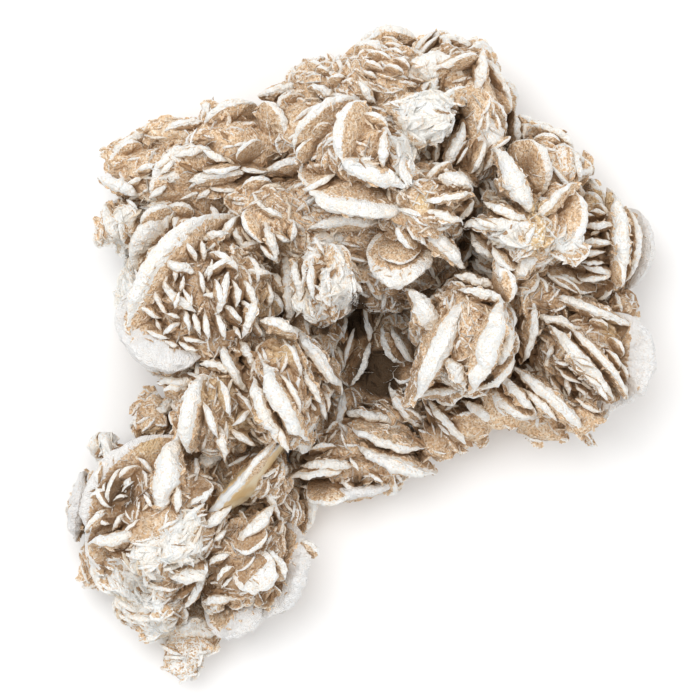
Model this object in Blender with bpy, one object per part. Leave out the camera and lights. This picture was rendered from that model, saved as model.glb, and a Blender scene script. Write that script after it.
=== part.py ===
"""Gypsum sand rose: a cluster of lens-shaped gypsum crystals that grew through each other.

The crystals of a sand rose share their roots, so the whole cluster is one solid. It is built
from a lumpy core, one ellipsoid per rosette, with blunt lens blades standing on it. The large
blades come from a table of their rims as seen from above. Smaller ones are set around the
flanks and the underside by a rule. All of them are joined by one Boolean union, and the
underside is worn flat where the cluster rests.

Metres, +Z up. The cluster rests on z = 0, and the origin is on its largest worn patch.
"""

import math
import random

import bmesh
import bpy
from mathutils import Matrix, Vector

MM = 0.001

# Lens blades.
BLADE_SIDES = 8  # corners around a blade's rim
BLADE_RISE = 0.34  # height of an upright blade above its chord, over the chord's length
TALLEST_RISE = 7.5 * MM  # of an upright blade
LEAN_ROOM = 1.1  # least in-plane height of a leaning blade, over the bulge seen from above
BELLY = 0.14  # what the middle of a blade adds to its thickness, over its diameter
RIM_BEVEL = 0.78  # thickness of the blunt rim, over the width it shows from above
SHORTEST_BLADE = 9.5 * MM  # shorter rims are surface detail and no part of the solid

# Flank blades, which a rule sets around each rosette.
FLANK_SEED = 41
FLANK_SPACING = 17 * MM  # along the flank
FLANK_RADIUS = (7.5 * MM, 10.5 * MM)
FLANK_WIDTH = (1.8 * MM, 2.8 * MM)
FLANK_RINGS = (-38, -4)  # degrees above the rosette's widest level
FLANK_SHOWS = (0.34, 0.5)  # part of a flank blade's radius that stands out of the core
FLANK_ROLL = (0.7, 1.5)  # radians by which its rim turns from level, to either side
CLEAR_OF_LOBES = 1.02  # a flank blade's foot is outside every other rosette by this factor

# Solid.
CORE_DIVISIONS = 2
MOST_FACETS = 9300  # the union's slivers are merged down to about this many triangles
WEAR_BLOCK = 400 * MM  # cube that wears the underside flat

# Rosettes: centre x and y, half widths along x and y, lowest and highest level, in millimetres.
LOBES = {
    "left_dome": (-36, 13, 18, 19, -1.5, 50),
    "left_saddle": (-20, 33, 12, 11, 3, 41),
    "shoulder_outer": (-48, 43, 10, 10, 3, 28),
    "shoulder_inner": (-29, 50, 14, 10, 1, 35),
    "back_saddle": (-12, 55, 9, 10, 3, 38),
    "top": (8, 65, 14, 12, -1.5, 50),
    "top_right": (26, 67, 10, 9, 6, 43),
    "crown": (4, 49, 15, 12, 10, 63),
    "upper_right": (31, 59, 7.5, 12, 4, 51),
    "outer_right": (48, 45, 9, 9, 7, 43),
    "rosette_one": (18, 36, 13, 11, 10, 64),
    "rosette_two": (43, 30, 13, 11, 4, 58),
    "right": (60, 26, 11, 13, 2, 37),
    "right_saddle": (46, 12, 11, 10, 2, 40),
    "right_low": (58, -1, 14, 13, -2, 41),
    "centre_right": (30, 4, 12, 15, 2, 58),
    "lower_right": (43, -11, 13, 8, 0, 38),
    "lower_shelf": (29, -17, 9, 7, 1, 24),
    "shelf_edge": (23, -22, 6, 5, 2, 20),
    "shelf_knob": (48, -17, 7, 6, 2, 23),
    "hollow_floor": (8, -1, 15, 15, -3, 13),
    "south_floor": (10, -17, 6, 5, 1, 18),
    "valley_side": (-9, 3, 7, 9, -1, 22),
    "right_floor": (34, 19, 6, 6, 3, 30),
    "north_saddle": (21, 53, 7, 9, 6, 47),
    "chalk_heap": (18, 57, 7, 6.5, 18, 56),
    "back_top": (-8, 66.5, 7.5, 6.5, 5, 33),
    "dome_skirt": (-51.5, 13.5, 7.5, 13, 0, 27),
    "star_floor": (33, 40, 7, 5, 5, 38),
    "valley_mouth": (-2, -14, 6, 5, 0, 15),
    "low_hollow": (-8, -34, 8, 4.5, 0, 12),
    "dome_gap": (-18, 15, 5, 8, 3, 30),
    "leaf_floor": (-17, -40, 5, 6, 0, 20),
    "dish_edge": (-62, -52, 6, 7, 1, 18),
    "shoulder_back": (-43, 52, 8, 6, 3, 26),
    "centre_left": (-6, 17, 9, 10, 8, 50),
    "plate_stack": (-18, -9, 11, 16, 0, 48),
    "lower_centre": (3, -26, 15, 9, 0, 25),
    "neck": (-33, -14, 12, 13, 2, 46),
    "neck_saddle": (-24, -31, 9, 9, 2, 34),
    "lower_left": (-45, -43, 16, 19, -3, 42),
    "lower_inner": (-27, -52, 12, 13, 0, 34),
    "dish": (-56, -37, 10, 13, 2, 24),
    "tail": (-42, -74, 5, 9, -1.5, 17),
    "tail_knob": (-36.5, -73.5, 4, 4, 1, 14),
    "lower_bank": (-49, -60.5, 9, 11.5, -1, 25),
    "left_knob": (-55.5, 31, 6, 7, 5, 27),
    "right_knob": (57, -15, 7, 5, 4, 27),
    "notch_knob": (68, 11, 5, 4, 8, 28),
    "neck_knob": (-50, -19, 6, 4, 4, 24),
    "east_saddle": (29, 48, 9, 9, 8, 48),
    "middle": (5, 30, 30, 20, -2.5, 42),
}
# Crumbly rosettes without flank blades.
BARE_LOBES = ("lower_right", "lower_shelf", "shelf_edge", "shelf_knob", "right_knob", "tail",
              "lower_bank", "tail_knob", "left_knob", "neck_knob", "notch_knob", "dome_skirt",
              "dish_edge", "shoulder_back", "back_top", "south_floor", "valley_side", "centre_left",
              "hollow_floor", "middle", "left_saddle", "back_saddle", "east_saddle", "right_floor",
              "neck_saddle", "north_saddle", "chalk_heap", "right_saddle", "rosette_one",
              "star_floor", "valley_mouth", "low_hollow", "dome_gap", "leaf_floor")

# Rims of the large blades, by region, in millimetres as seen from above: where the rim starts
# (x, y), where it ends (x, y), how far it bulges to the left of that line (negative: to the
# right), the width of its blunt edge, and for some the level of the rim's foot. A blade leans
# the way it bulges.
RIMS = {
    "shoulder": (
        (-63, 43.5, -53, 38.5, 0.6, 2.4, 24),
        (-50, 42, -30, 46, 7.0, 2.4, 28),
        (-61, 46, -50, 54, 3.0, 1.6),
        (-47, 55, -36, 57, 1.2, 1.6),
        (-21, 62, -16, 52.5, 2.2, 1.8),
        (-37, 56, -24, 62, 2.6, 1.6),
        (-23, 64, -12, 66.5, 0.8, 1.9),
        (-14, 50, 2.5, 62, 4.2, 1.8),
        (-40, 41, -25, 45, 1.2, 2.1),
        (-36, 38, -25, 41.5, 0.8, 1.8),
        (-23, 43, -4, 49, 1.6, 1.7),
    ),
    "crown": (
        (-1, 45, 0.5, 60.5, 3.6, 2.5),
        (-3, 47, 14, 40.5, -2.0, 3.2),
        (8.5, 54, 7.5, 44, 0.2, 1.6),
        (12, 60, 28, 62, 0.6, 2.8),
        (-11, 39.5, 16, 35, -3.5, 3.2, 54),
        (-10, 30.5, 8, 32, 0.4, 1.9),
        (-10, 66, -2, 62, 0.4, 1.8),
        (2, 76.5, 16.5, 78, 3.8, 2.0),
        (13, 71, 21, 80, 0.3, 1.5),
        (13, 67, 27, 71, 4.5, 4.2, 41),
        (18, 68, 31, 73.5, 0.3, 1.4),
        (33.5, 74, 31, 63, 0.3, 2.3),
        (21, 78, 32, 74, 2.4, 1.6),
    ),
    "upper_right": (
        (33, 73, 40, 61, 1.6, 1.4),
        (41, 60, 41, 48, 1.2, 1.5),
        (28.5, 56, 22.5, 44, 0.3, 2.3),
        (36, 49.5, 44, 33, 0.6, 4.0, 54),
        (45, 52, 47, 37.5, 3.5, 2.1),
        (54, 51, 57, 42, 1.6, 1.6),
        (46, 56, 56, 50, 1.6, 1.5),
        (56, 50, 58, 42, 2.4, 1.6),
    ),
    "rosettes": (
        (21, 42, 30, 40, 1.2, 3.2),
        (18, 36, 29.5, 38, 0.3, 1.5),
        (19, 34, 27.5, 31.3, 0.4, 2.1),
        (15.5, 32.5, 28, 20.5, 0.5, 3.2),
        (4, 21.5, 20, 25, -7.4, 2.8, 43),
        (45, 31, 55, 41, 0.9, 1.7, 51),
        (37, 26, 38, 12, 0.3, 2.8, 46),
        (56, 39, 51, 24, 4.8, 2.4),
        (44, 32, 33, 36, 0.5, 1.9),
        (44, 31, 27, 31, 0.4, 2.3),
        (46.5, 20, 40, 14.5, 3.6, 1.9),
        (40, 17.5, 47, 24.5, 0.6, 3.4),
        (26, 18.5, 37, 15, 0.3, 2.1),
        (27, 15, 38, 12, 0.3, 1.9),
        (30, 22, 38, 17, 0.3, 2.0),
    ),
    "centre": (
        (-4, 26, -4, 12, 3.0, 1.6),
        (-16, 25, -15, 7, 0.4, 2.6),
        (-14, 22, -12, 12, 0.3, 1.7),
        (14.5, 15, 23, 2, 0.4, 4.4, 44),
        (8, 6, 13, -3, -2.2, 1.7),
        (5, 2, 0, -9, 1.0, 1.5),
    ),
    "centre_right": (
        (28, 13, 15.5, -12, 0.6, 4.0),
        (37, 12, 30, -10, 0.6, 4.6),
        (38, 7, 36, -4, 2.3, 2.6),
        (23, -1, 29, -9, 0.3, 2.8),
        (30, -10.5, 39, -3.5, 0.3, 1.5),
        (17, -11, 30, -10, 0.3, 1.9),
        (45, 13.5, 43, -3, 2.0, 1.7),
    ),
    "right": (
        (66, 39, 67, 16, 1.4, 2.6),
        (70, 35, 69, 17, 2.6, 1.5),
        (73, 35, 70, 15, 4.0, 2.6),
        (57, 30.5, 67, 31, 0.2, 1.5),
        (48, 14.5, 70.5, 6, 0.3, 1.9),
        (52, 17, 62, 11.5, 0.3, 1.5),
        (46, 9, 58, 5, 0.2, 1.6),
        (50, 5.5, 65, -12, 0.6, 2.5),
        (54, 6, 69, -11, 0.6, 1.4),
        (71, 8, 68, -14, 6.4, 3.4),
        (40, -3.5, 59.5, -21.5, 0.3, 2.3),
        (36.5, -6, 46, -15.5, 0.3, 1.7),
        (42, -9, 51.5, -17, 0.2, 1.6),
        (36, -10, 45, -16.5, -2.2, 1.7),
        (28, -13, 40, -19.5, 0.3, 2.4),
    ),
    "lower_centre": (
        (-1.5, -16, 11, -18, 0.3, 2.3),
        (1, -19.5, 18, -25, -2.0, 1.9),
        (2, -24, 21, -31.5, -1.8, 2.5),
        (10, -9, 21, -21.5, -1.6, 2.1),
        (19, -12, 29, -24, 0.2, 1.7),
        (-12, -29, 1, -29, 0.4, 2.1),
        (-9, -37.5, 12, -33.5, -0.6, 2.2),
    ),
    "left_dome": (
        (-55, 8, -36, 33.5, 4.0, 3.0),
        (-55, 22, -42, 36, 4.0, 3.6),
        (-58, 8, -37, -2.5, -7.0, 4.2),
        (-34, 36, -32, 27, 0.3, 2.2),
        (-37, 27, -30, 29, 0.6, 1.8),
        (-21.5, 32, -18, 22, 0.6, 1.8),
        (-30, 19, -33, 9, 0.3, 2.0),
        (-23, 13, -27, 3, 0.3, 1.9),
        (-46, 15, -38, 9, 0.3, 1.9),
        (-37, -3, -28, -5.5, 0.3, 1.8),
        (-47, 22, -38, 19, 0.3, 1.8),
    ),
    "plate_stack": (
        (-15, 6, -2, -10, 0.6, 2.8),
        (-22, 7.5, -13, 4, 1.2, 2.2, 44),
        (-21.5, -3, -11.5, -22, -0.8, 3.6),
        (-24.5, -7, -17.5, -22.5, -0.4, 3.2),
        (-28, 3, -23, -5, 0.3, 1.9),
        (-34, 4, -24.5, -12, -0.6, 2.1),
        (-12, -5, -7, -13, 0.2, 1.5),
        (-9.5, -9, -6, -17, 0.2, 1.5),
        (-2, -9, -8.5, -27, 2.6, 1.9),
    ),
    "neck": (
        (-48, -8, -37, -8.5, 0.3, 2.2),
        (-52, -17, -42, -13, 0.3, 3.0),
        (-36.5, -6.5, -40.5, -24.5, -2.0, 3.0),
        (-33, -18, -31, -27, 0.3, 1.9),
        (-43, -20.5, -46.5, -41, -0.6, 4.6),
        (-31, -23, -40, -31, 0.5, 3.6),
    ),
    "dish": (
        (-48, -20, -66, -48, -7.5, 3.0),
        (-67, -31, -70, -48, -1.0, 3.0),
        (-55, -28, -56.5, -37, 0.3, 1.5),
        (-65, -38.5, -56, -39.5, 0.2, 1.5),
        (-65, -48.5, -50, -46, 0.4, 2.8, 33),
        (-64, -51, -57, -62, -0.6, 2.2),
    ),
    "lower_left": (
        (-37, -44, -17.5, -23.5, 1.0, 2.2),
        (-28.5, -49, -19, -39, 0.3, 2.7),
        (-45, -56, -35.5, -55, -2.2, 2.0),
        (-36, -55, -41, -64.5, 0.3, 1.9),
        (-37, -63, -28.5, -62, 0.2, 1.9),
        (-27, -60, -19, -52, -4.2, 3.2),
        (-46, -66, -32, -68, -6.2, 3.4),
        (-33, -72, -22, -61.5, -4.4, 3.2),
        (-12, -31, -11, -46, 2.6, 2.0),
        (-12, -46, -20, -67, 4.6, 3.2),
        (-21, -50, -16, -57, 1.6, 1.8),
    ),
}

SANDY_WHITE = (0.74, 0.66, 0.56, 1.0)


def clear_scene():
    for old in list(bpy.data.objects):
        bpy.data.objects.remove(old, do_unlink=True)


def gypsum_material():
    material = bpy.data.materials.new("gypsum")
    material.use_nodes = True
    shader = material.node_tree.nodes["Principled BSDF"]
    shader.inputs["Base Color"].default_value = SANDY_WHITE
    shader.inputs["Roughness"].default_value = 0.85
    shader.inputs["Metallic"].default_value = 0.0
    return material


def lobe_shape(name):
    """Centre and half sizes of a rosette's ellipsoid, in metres."""
    x, y, half_x, half_y, low, high = LOBES[name]
    centre = Vector((x, y, (low + high) / 2)) * MM
    half = Vector((half_x, half_y, (high - low) / 2)) * MM
    return centre, half


def core_level(x, y):
    """Level of the core's upper surface at a plan position, or of the nearest flank beside it."""
    top = None
    nearest = None
    for name in LOBES:
        centre, half = lobe_shape(name)
        reach = math.hypot((x - centre.x) / half.x, (y - centre.y) / half.y)
        if reach < 1:
            level = centre.z + half.z * math.sqrt(1 - reach * reach)
            top = level if top is None else max(top, level)
        if nearest is None or reach < nearest[0]:
            nearest = (reach, centre.z)
    return nearest[1] if top is None else top


def lens_mesh(name, centre, along, up, radius, rim):
    """A blunt biconvex disc: a rim wall and a low cone on each side."""
    normal = along.cross(up).normalized()
    half_rim = rim * RIM_BEVEL / 2
    half_middle = half_rim + BELLY * radius
    shape = bmesh.new()
    front = []
    back = []
    for side in range(BLADE_SIDES):
        angle = 2 * math.pi * side / BLADE_SIDES + math.pi / 2
        spoke = along * math.cos(angle) + up * math.sin(angle)
        front.append(shape.verts.new(centre + spoke * radius + normal * half_rim))
        back.append(shape.verts.new(centre + spoke * radius - normal * half_rim))
    front_apex = shape.verts.new(centre + normal * half_middle)
    back_apex = shape.verts.new(centre - normal * half_middle)
    for side in range(BLADE_SIDES):
        after = (side + 1) % BLADE_SIDES
        shape.faces.new((front[side], back[side], back[after], front[after]))
        shape.faces.new((front[side], front[after], front_apex))
        shape.faces.new((back[after], back[side], back_apex))
    bmesh.ops.recalc_face_normals(shape, faces=shape.faces)
    mesh = bpy.data.meshes.new(name)
    shape.to_mesh(mesh)
    shape.free()
    return mesh


def rim_blade(row):
    """Place of the blade whose rim is one row of RIMS: centre, direction along, up, radius, rim."""
    start = Vector((row[0], row[1], 0)) * MM
    end = Vector((row[2], row[3], 0)) * MM
    bulge = row[4] * MM
    chord = (end - start).length
    along = (end - start).normalized()
    left = Vector((-along.y, along.x, 0))
    rise = max(min(BLADE_RISE * chord, TALLEST_RISE), LEAN_ROOM * abs(bulge))
    radius = chord * chord / (8 * rise) + rise / 2
    lean = math.asin(bulge / rise)
    up = left * math.sin(lean) + Vector((0, 0, math.cos(lean)))
    foot = (start + end) / 2
    foot.z = row[6] * MM if len(row) > 6 else core_level(foot.x, foot.y)
    centre = foot + up * (rise - radius)
    return centre, along, up, radius, row[5] * MM


def inside_another_lobe(point, own):
    for name in LOBES:
        if name == own:
            continue
        centre, half = lobe_shape(name)
        offset = point - centre
        reach = Vector((offset.x / half.x, offset.y / half.y, offset.z / half.z)).length
        if reach < CLEAR_OF_LOBES:
            return True
    return False


def flank_blades(name, dice):
    """Places of the blades around the sides of one rosette."""
    centre, half = lobe_shape(name)
    places = []
    for ring in FLANK_RINGS:
        level = math.radians(ring)
        around = 2 * math.pi * (half.x + half.y) / 2 * math.cos(level)
        count = max(4, round(around / FLANK_SPACING))
        for step in range(count):
            turn = 2 * math.pi * (step + dice.uniform(0, 0.5)) / count
            out = Vector((math.cos(turn) * math.cos(level), math.sin(turn) * math.cos(level),
                          math.sin(level)))
            foot = centre + Vector((out.x * half.x, out.y * half.y, out.z * half.z))
            normal = Vector((out.x / half.x, out.y / half.y, out.z / half.z)).normalized()
            radius = dice.uniform(*FLANK_RADIUS)
            shows = dice.uniform(*FLANK_SHOWS)
            rim = dice.uniform(*FLANK_WIDTH)
            roll = dice.choice((-1, 1)) * dice.uniform(*FLANK_ROLL)
            tilt = dice.uniform(-0.35, 0.35)
            if inside_another_lobe(foot, name) or foot.z < 2 * MM:
                continue
            level_line = Vector((-normal.y, normal.x, 0)).normalized()
            along = Matrix.Rotation(roll, 3, normal) @ level_line
            up = Matrix.Rotation(tilt, 3, along) @ normal
            places.append((foot - up * radius * (1 - shows), along, up, radius, rim))
    return places


def add_guide(name, mesh, guides):
    """A shape that only feeds the Boolean."""
    guide = bpy.data.objects.new(name, mesh)
    guide.display_type = "WIRE"
    guide.hide_render = True
    guides.objects.link(guide)
    return guide


def core_mesh(name):
    centre, half = lobe_shape(name)
    shape = bmesh.new()
    bmesh.ops.create_icosphere(shape, subdivisions=CORE_DIVISIONS, radius=1.0)
    spin = Matrix.Rotation(math.radians(10 + 37 * len(name)), 4, "Z")
    size = Matrix.Diagonal((half.x, half.y, half.z, 1))
    bmesh.ops.transform(shape, matrix=Matrix.Translation(centre) @ size @ spin, verts=shape.verts)
    mesh = bpy.data.meshes.new(name)
    shape.to_mesh(mesh)
    shape.free()
    return mesh


def bake_modifiers(thing):
    graph = bpy.context.evaluated_depsgraph_get()
    baked = bpy.data.meshes.new_from_object(thing.evaluated_get(graph))
    thing.modifiers.clear()
    thing.data = baked


def keep_outer_shell(thing):
    """Drops closed shells inside the solid and crumbs beside it."""
    shape = bmesh.new()
    shape.from_mesh(thing.data)
    unseen = set(shape.verts)
    shells = []
    while unseen:
        shell = {unseen.pop()}
        edge_of_shell = list(shell)
        while edge_of_shell:
            vert = edge_of_shell.pop()
            for edge in vert.link_edges:
                other = edge.other_vert(vert)
                if other in unseen:
                    unseen.discard(other)
                    shell.add(other)
                    edge_of_shell.append(other)
        shells.append(shell)
    shells.sort(key=len)
    for shell in shells[:-1]:
        bmesh.ops.delete(shape, geom=list(shell), context="VERTS")
    shape.to_mesh(thing.data)
    shape.free()


def merge_slivers(thing):
    thing.data.calc_loop_triangles()
    merge = thing.modifiers.new("merge_slivers", "DECIMATE")
    merge.decimate_type = "COLLAPSE"
    merge.use_collapse_triangulate = True
    merge.ratio = min(1.0, MOST_FACETS / len(thing.data.loop_triangles))
    bake_modifiers(thing)


def build():
    clear_scene()
    scene = bpy.context.scene
    guides = bpy.data.collections.new("guides")
    scene.collection.children.link(guides)

    for name in list(LOBES)[:-1]:
        add_guide("core_" + name, core_mesh(name), guides)
    for region, rows in RIMS.items():
        for number, row in enumerate(rows):
            length = math.hypot(row[2] - row[0], row[3] - row[1]) * MM
            if length >= SHORTEST_BLADE:
                name = f"{region}_{number}"
                add_guide(name, lens_mesh(name, *rim_blade(row)), guides)
    dice = random.Random(FLANK_SEED)
    for lobe in LOBES:
        if lobe in BARE_LOBES:
            continue
        for number, place in enumerate(flank_blades(lobe, dice)):
            name = f"flank_{lobe}_{number}"
            add_guide(name, lens_mesh(name, *place), guides)

    sand_rose = bpy.data.objects.new("sand_rose", core_mesh(list(LOBES)[-1]))
    scene.collection.objects.link(sand_rose)
    join = sand_rose.modifiers.new("join_crystals", "BOOLEAN")
    join.operation = "UNION"
    join.solver = "EXACT"
    join.operand_type = "COLLECTION"
    join.collection = guides
    bake_modifiers(sand_rose)
    keep_outer_shell(sand_rose)
    merge_slivers(sand_rose)

    block = bmesh.new()
    lowered = Matrix.Translation((0, 0, -WEAR_BLOCK / 2))
    bmesh.ops.create_cube(block, size=WEAR_BLOCK, matrix=lowered)
    block_mesh = bpy.data.meshes.new("wear_block")
    block.to_mesh(block_mesh)
    block.free()
    tools = bpy.data.collections.new("tools")
    scene.collection.children.link(tools)
    wear = sand_rose.modifiers.new("worn_underside", "BOOLEAN")
    wear.operation = "DIFFERENCE"
    wear.solver = "EXACT"
    wear.object = add_guide("wear_block", block_mesh, tools)
    bake_modifiers(sand_rose)
    keep_outer_shell(sand_rose)

    sand_rose.data.materials.clear()
    sand_rose.data.materials.append(gypsum_material())


build()
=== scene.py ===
"""Looks of the gypsum sand rose: crystals, sand grains, materials, floor, light and camera.

Lengths in the tables are millimetres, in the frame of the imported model. Blades are lens-shaped
crystals. The large ones stand where the CAD has them: RIMS holds their rims as seen from above.
SMALL_RIMS holds smaller ones that the solid leaves out. Smaller crystals still are grown by a
rule over the core and over the faces of the large blades.
"""

import math
import random

import bmesh
import bpy
import numpy as np
from mathutils import Matrix, Vector
from mathutils.bvhtree import BVHTree
from mathutils.kdtree import KDTree

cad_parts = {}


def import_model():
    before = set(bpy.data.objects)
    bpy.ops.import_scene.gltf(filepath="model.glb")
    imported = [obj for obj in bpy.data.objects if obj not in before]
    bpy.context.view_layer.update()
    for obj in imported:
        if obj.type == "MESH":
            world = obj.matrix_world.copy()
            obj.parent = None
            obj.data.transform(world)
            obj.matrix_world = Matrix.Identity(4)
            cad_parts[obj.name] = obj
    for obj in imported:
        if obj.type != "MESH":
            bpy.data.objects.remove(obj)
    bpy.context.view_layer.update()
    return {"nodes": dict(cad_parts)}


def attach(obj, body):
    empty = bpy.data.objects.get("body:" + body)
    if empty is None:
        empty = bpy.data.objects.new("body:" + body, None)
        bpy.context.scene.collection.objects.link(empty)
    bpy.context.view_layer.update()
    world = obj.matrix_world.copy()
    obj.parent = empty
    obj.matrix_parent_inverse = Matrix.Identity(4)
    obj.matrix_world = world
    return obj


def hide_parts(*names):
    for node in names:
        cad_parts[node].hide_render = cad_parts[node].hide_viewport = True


MM = 0.001

# Large blades, as in the CAD.
BLADE_RISE = 0.34  # height of an upright blade above its chord, over the chord's length
TALLEST_RISE = 7.5  # of an upright blade
LEAN_ROOM = 1.1  # least in-plane height of a leaning blade, over the bulge seen from above
BELLY = 0.14  # what the middle of a blade adds to its thickness, over its diameter

# Smaller blades.
SMALL_BELLY = 0.2  # as BELLY
SMALL_TILT = 0.5  # share of the rosette's slope by which a small blade leans
STEEPEST_LEAN = 0.8  # of a small blade, in radians
LEAST_UPWARD = 0.3  # of the rosette's direction, where the slope is worked out
SMALL_LIFT = 0.9  # of the foot of a small blade, over the solid
SMALL_SLENDER = (1.12, 0.76)  # factors on the length and the width of a small blade

# Flank blades, as in the CAD.
FLANK_SEED = 41
FLANK_SPACING = 17
FEWEST_IN_RING = 4
FLANK_RADIUS = (7.5, 10.5)
FLANK_WIDTH = (1.8, 2.8)
FLANK_RINGS = (-38, -4)  # degrees above the middle of the rosette
FLANK_SHOWS = (0.34, 0.5)
FLANK_ROLL = (0.7, 1.5)
FLANK_TILT = 0.35
FLANK_SHIFT = 0.5  # most that one moves on around its ring, over their distance
LOWEST_FLANK = 2
CLEAR_OF_LOBES = 1.02

# Rosettes: centre x and y, half widths along x and y, lowest and highest level.
LOBES = {
    "left_dome": (-36, 13, 18, 19, -1.5, 50), "left_saddle": (-20, 33, 12, 11, 3, 41),
    "shoulder_outer": (-48, 43, 10, 10, 3, 28), "shoulder_inner": (-29, 50, 14, 10, 1, 35),
    "back_saddle": (-12, 55, 9, 10, 3, 38), "top": (8, 65, 14, 12, -1.5, 50),
    "top_right": (26, 67, 10, 9, 6, 43), "crown": (4, 49, 15, 12, 10, 63),
    "upper_right": (31, 59, 7.5, 12, 4, 51), "outer_right": (48, 45, 9, 9, 7, 43),
    "rosette_one": (18, 36, 13, 11, 10, 64), "rosette_two": (43, 30, 13, 11, 4, 58),
    "right": (60, 26, 11, 13, 2, 37), "right_saddle": (46, 12, 11, 10, 2, 40),
    "right_low": (58, -1, 14, 13, -2, 41), "centre_right": (30, 4, 12, 15, 2, 58),
    "lower_right": (43, -11, 13, 8, 0, 38), "lower_shelf": (29, -17, 9, 7, 1, 24),
    "shelf_edge": (23, -22, 6, 5, 2, 20), "shelf_knob": (48, -17, 7, 6, 2, 23),
    "hollow_floor": (8, -1, 15, 15, -3, 13), "south_floor": (10, -17, 6, 5, 1, 18),
    "valley_side": (-9, 3, 7, 9, -1, 22), "right_floor": (34, 19, 6, 6, 3, 30),
    "north_saddle": (21, 53, 7, 9, 6, 47), "chalk_heap": (18, 57, 7, 6.5, 18, 56),
    "back_top": (-8, 66.5, 7.5, 6.5, 5, 33), "dome_skirt": (-51.5, 13.5, 7.5, 13, 0, 27),
    "star_floor": (33, 40, 7, 5, 5, 38), "valley_mouth": (-2, -14, 6, 5, 0, 15),
    "low_hollow": (-8, -34, 8, 4.5, 0, 12), "dome_gap": (-18, 15, 5, 8, 3, 30),
    "leaf_floor": (-17, -40, 5, 6, 0, 20), "dish_edge": (-62, -52, 6, 7, 1, 18),
    "shoulder_back": (-43, 52, 8, 6, 3, 26), "centre_left": (-6, 17, 9, 10, 8, 50),
    "plate_stack": (-18, -9, 11, 16, 0, 48), "lower_centre": (3, -26, 15, 9, 0, 25),
    "neck": (-33, -14, 12, 13, 2, 46), "neck_saddle": (-24, -31, 9, 9, 2, 34),
    "lower_left": (-45, -43, 16, 19, -3, 42), "lower_inner": (-27, -52, 12, 13, 0, 34),
    "dish": (-56, -37, 10, 13, 2, 24), "tail": (-42, -74, 5, 9, -1.5, 17),
    "tail_knob": (-36.5, -73.5, 4, 4, 1, 14), "lower_bank": (-49, -60.5, 9, 11.5, -1, 25),
    "left_knob": (-55.5, 31, 6, 7, 5, 27), "right_knob": (57, -15, 7, 5, 4, 27),
    "notch_knob": (68, 11, 5, 4, 8, 28), "neck_knob": (-50, -19, 6, 4, 4, 24),
    "east_saddle": (29, 48, 9, 9, 8, 48), "middle": (5, 30, 30, 20, -2.5, 42),
}
# Crumbly rosettes without flank blades.
BARE_LOBES = ("lower_right", "lower_shelf", "shelf_edge", "shelf_knob", "right_knob", "tail",
              "lower_bank", "tail_knob", "left_knob", "neck_knob", "notch_knob", "dome_skirt",
              "dish_edge", "shoulder_back", "back_top", "south_floor", "valley_side", "centre_left",
              "hollow_floor", "middle", "left_saddle", "back_saddle", "east_saddle", "right_floor",
              "neck_saddle", "north_saddle", "chalk_heap", "right_saddle", "rosette_one",
              "star_floor", "valley_mouth", "low_hollow", "dome_gap", "leaf_floor")

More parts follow.
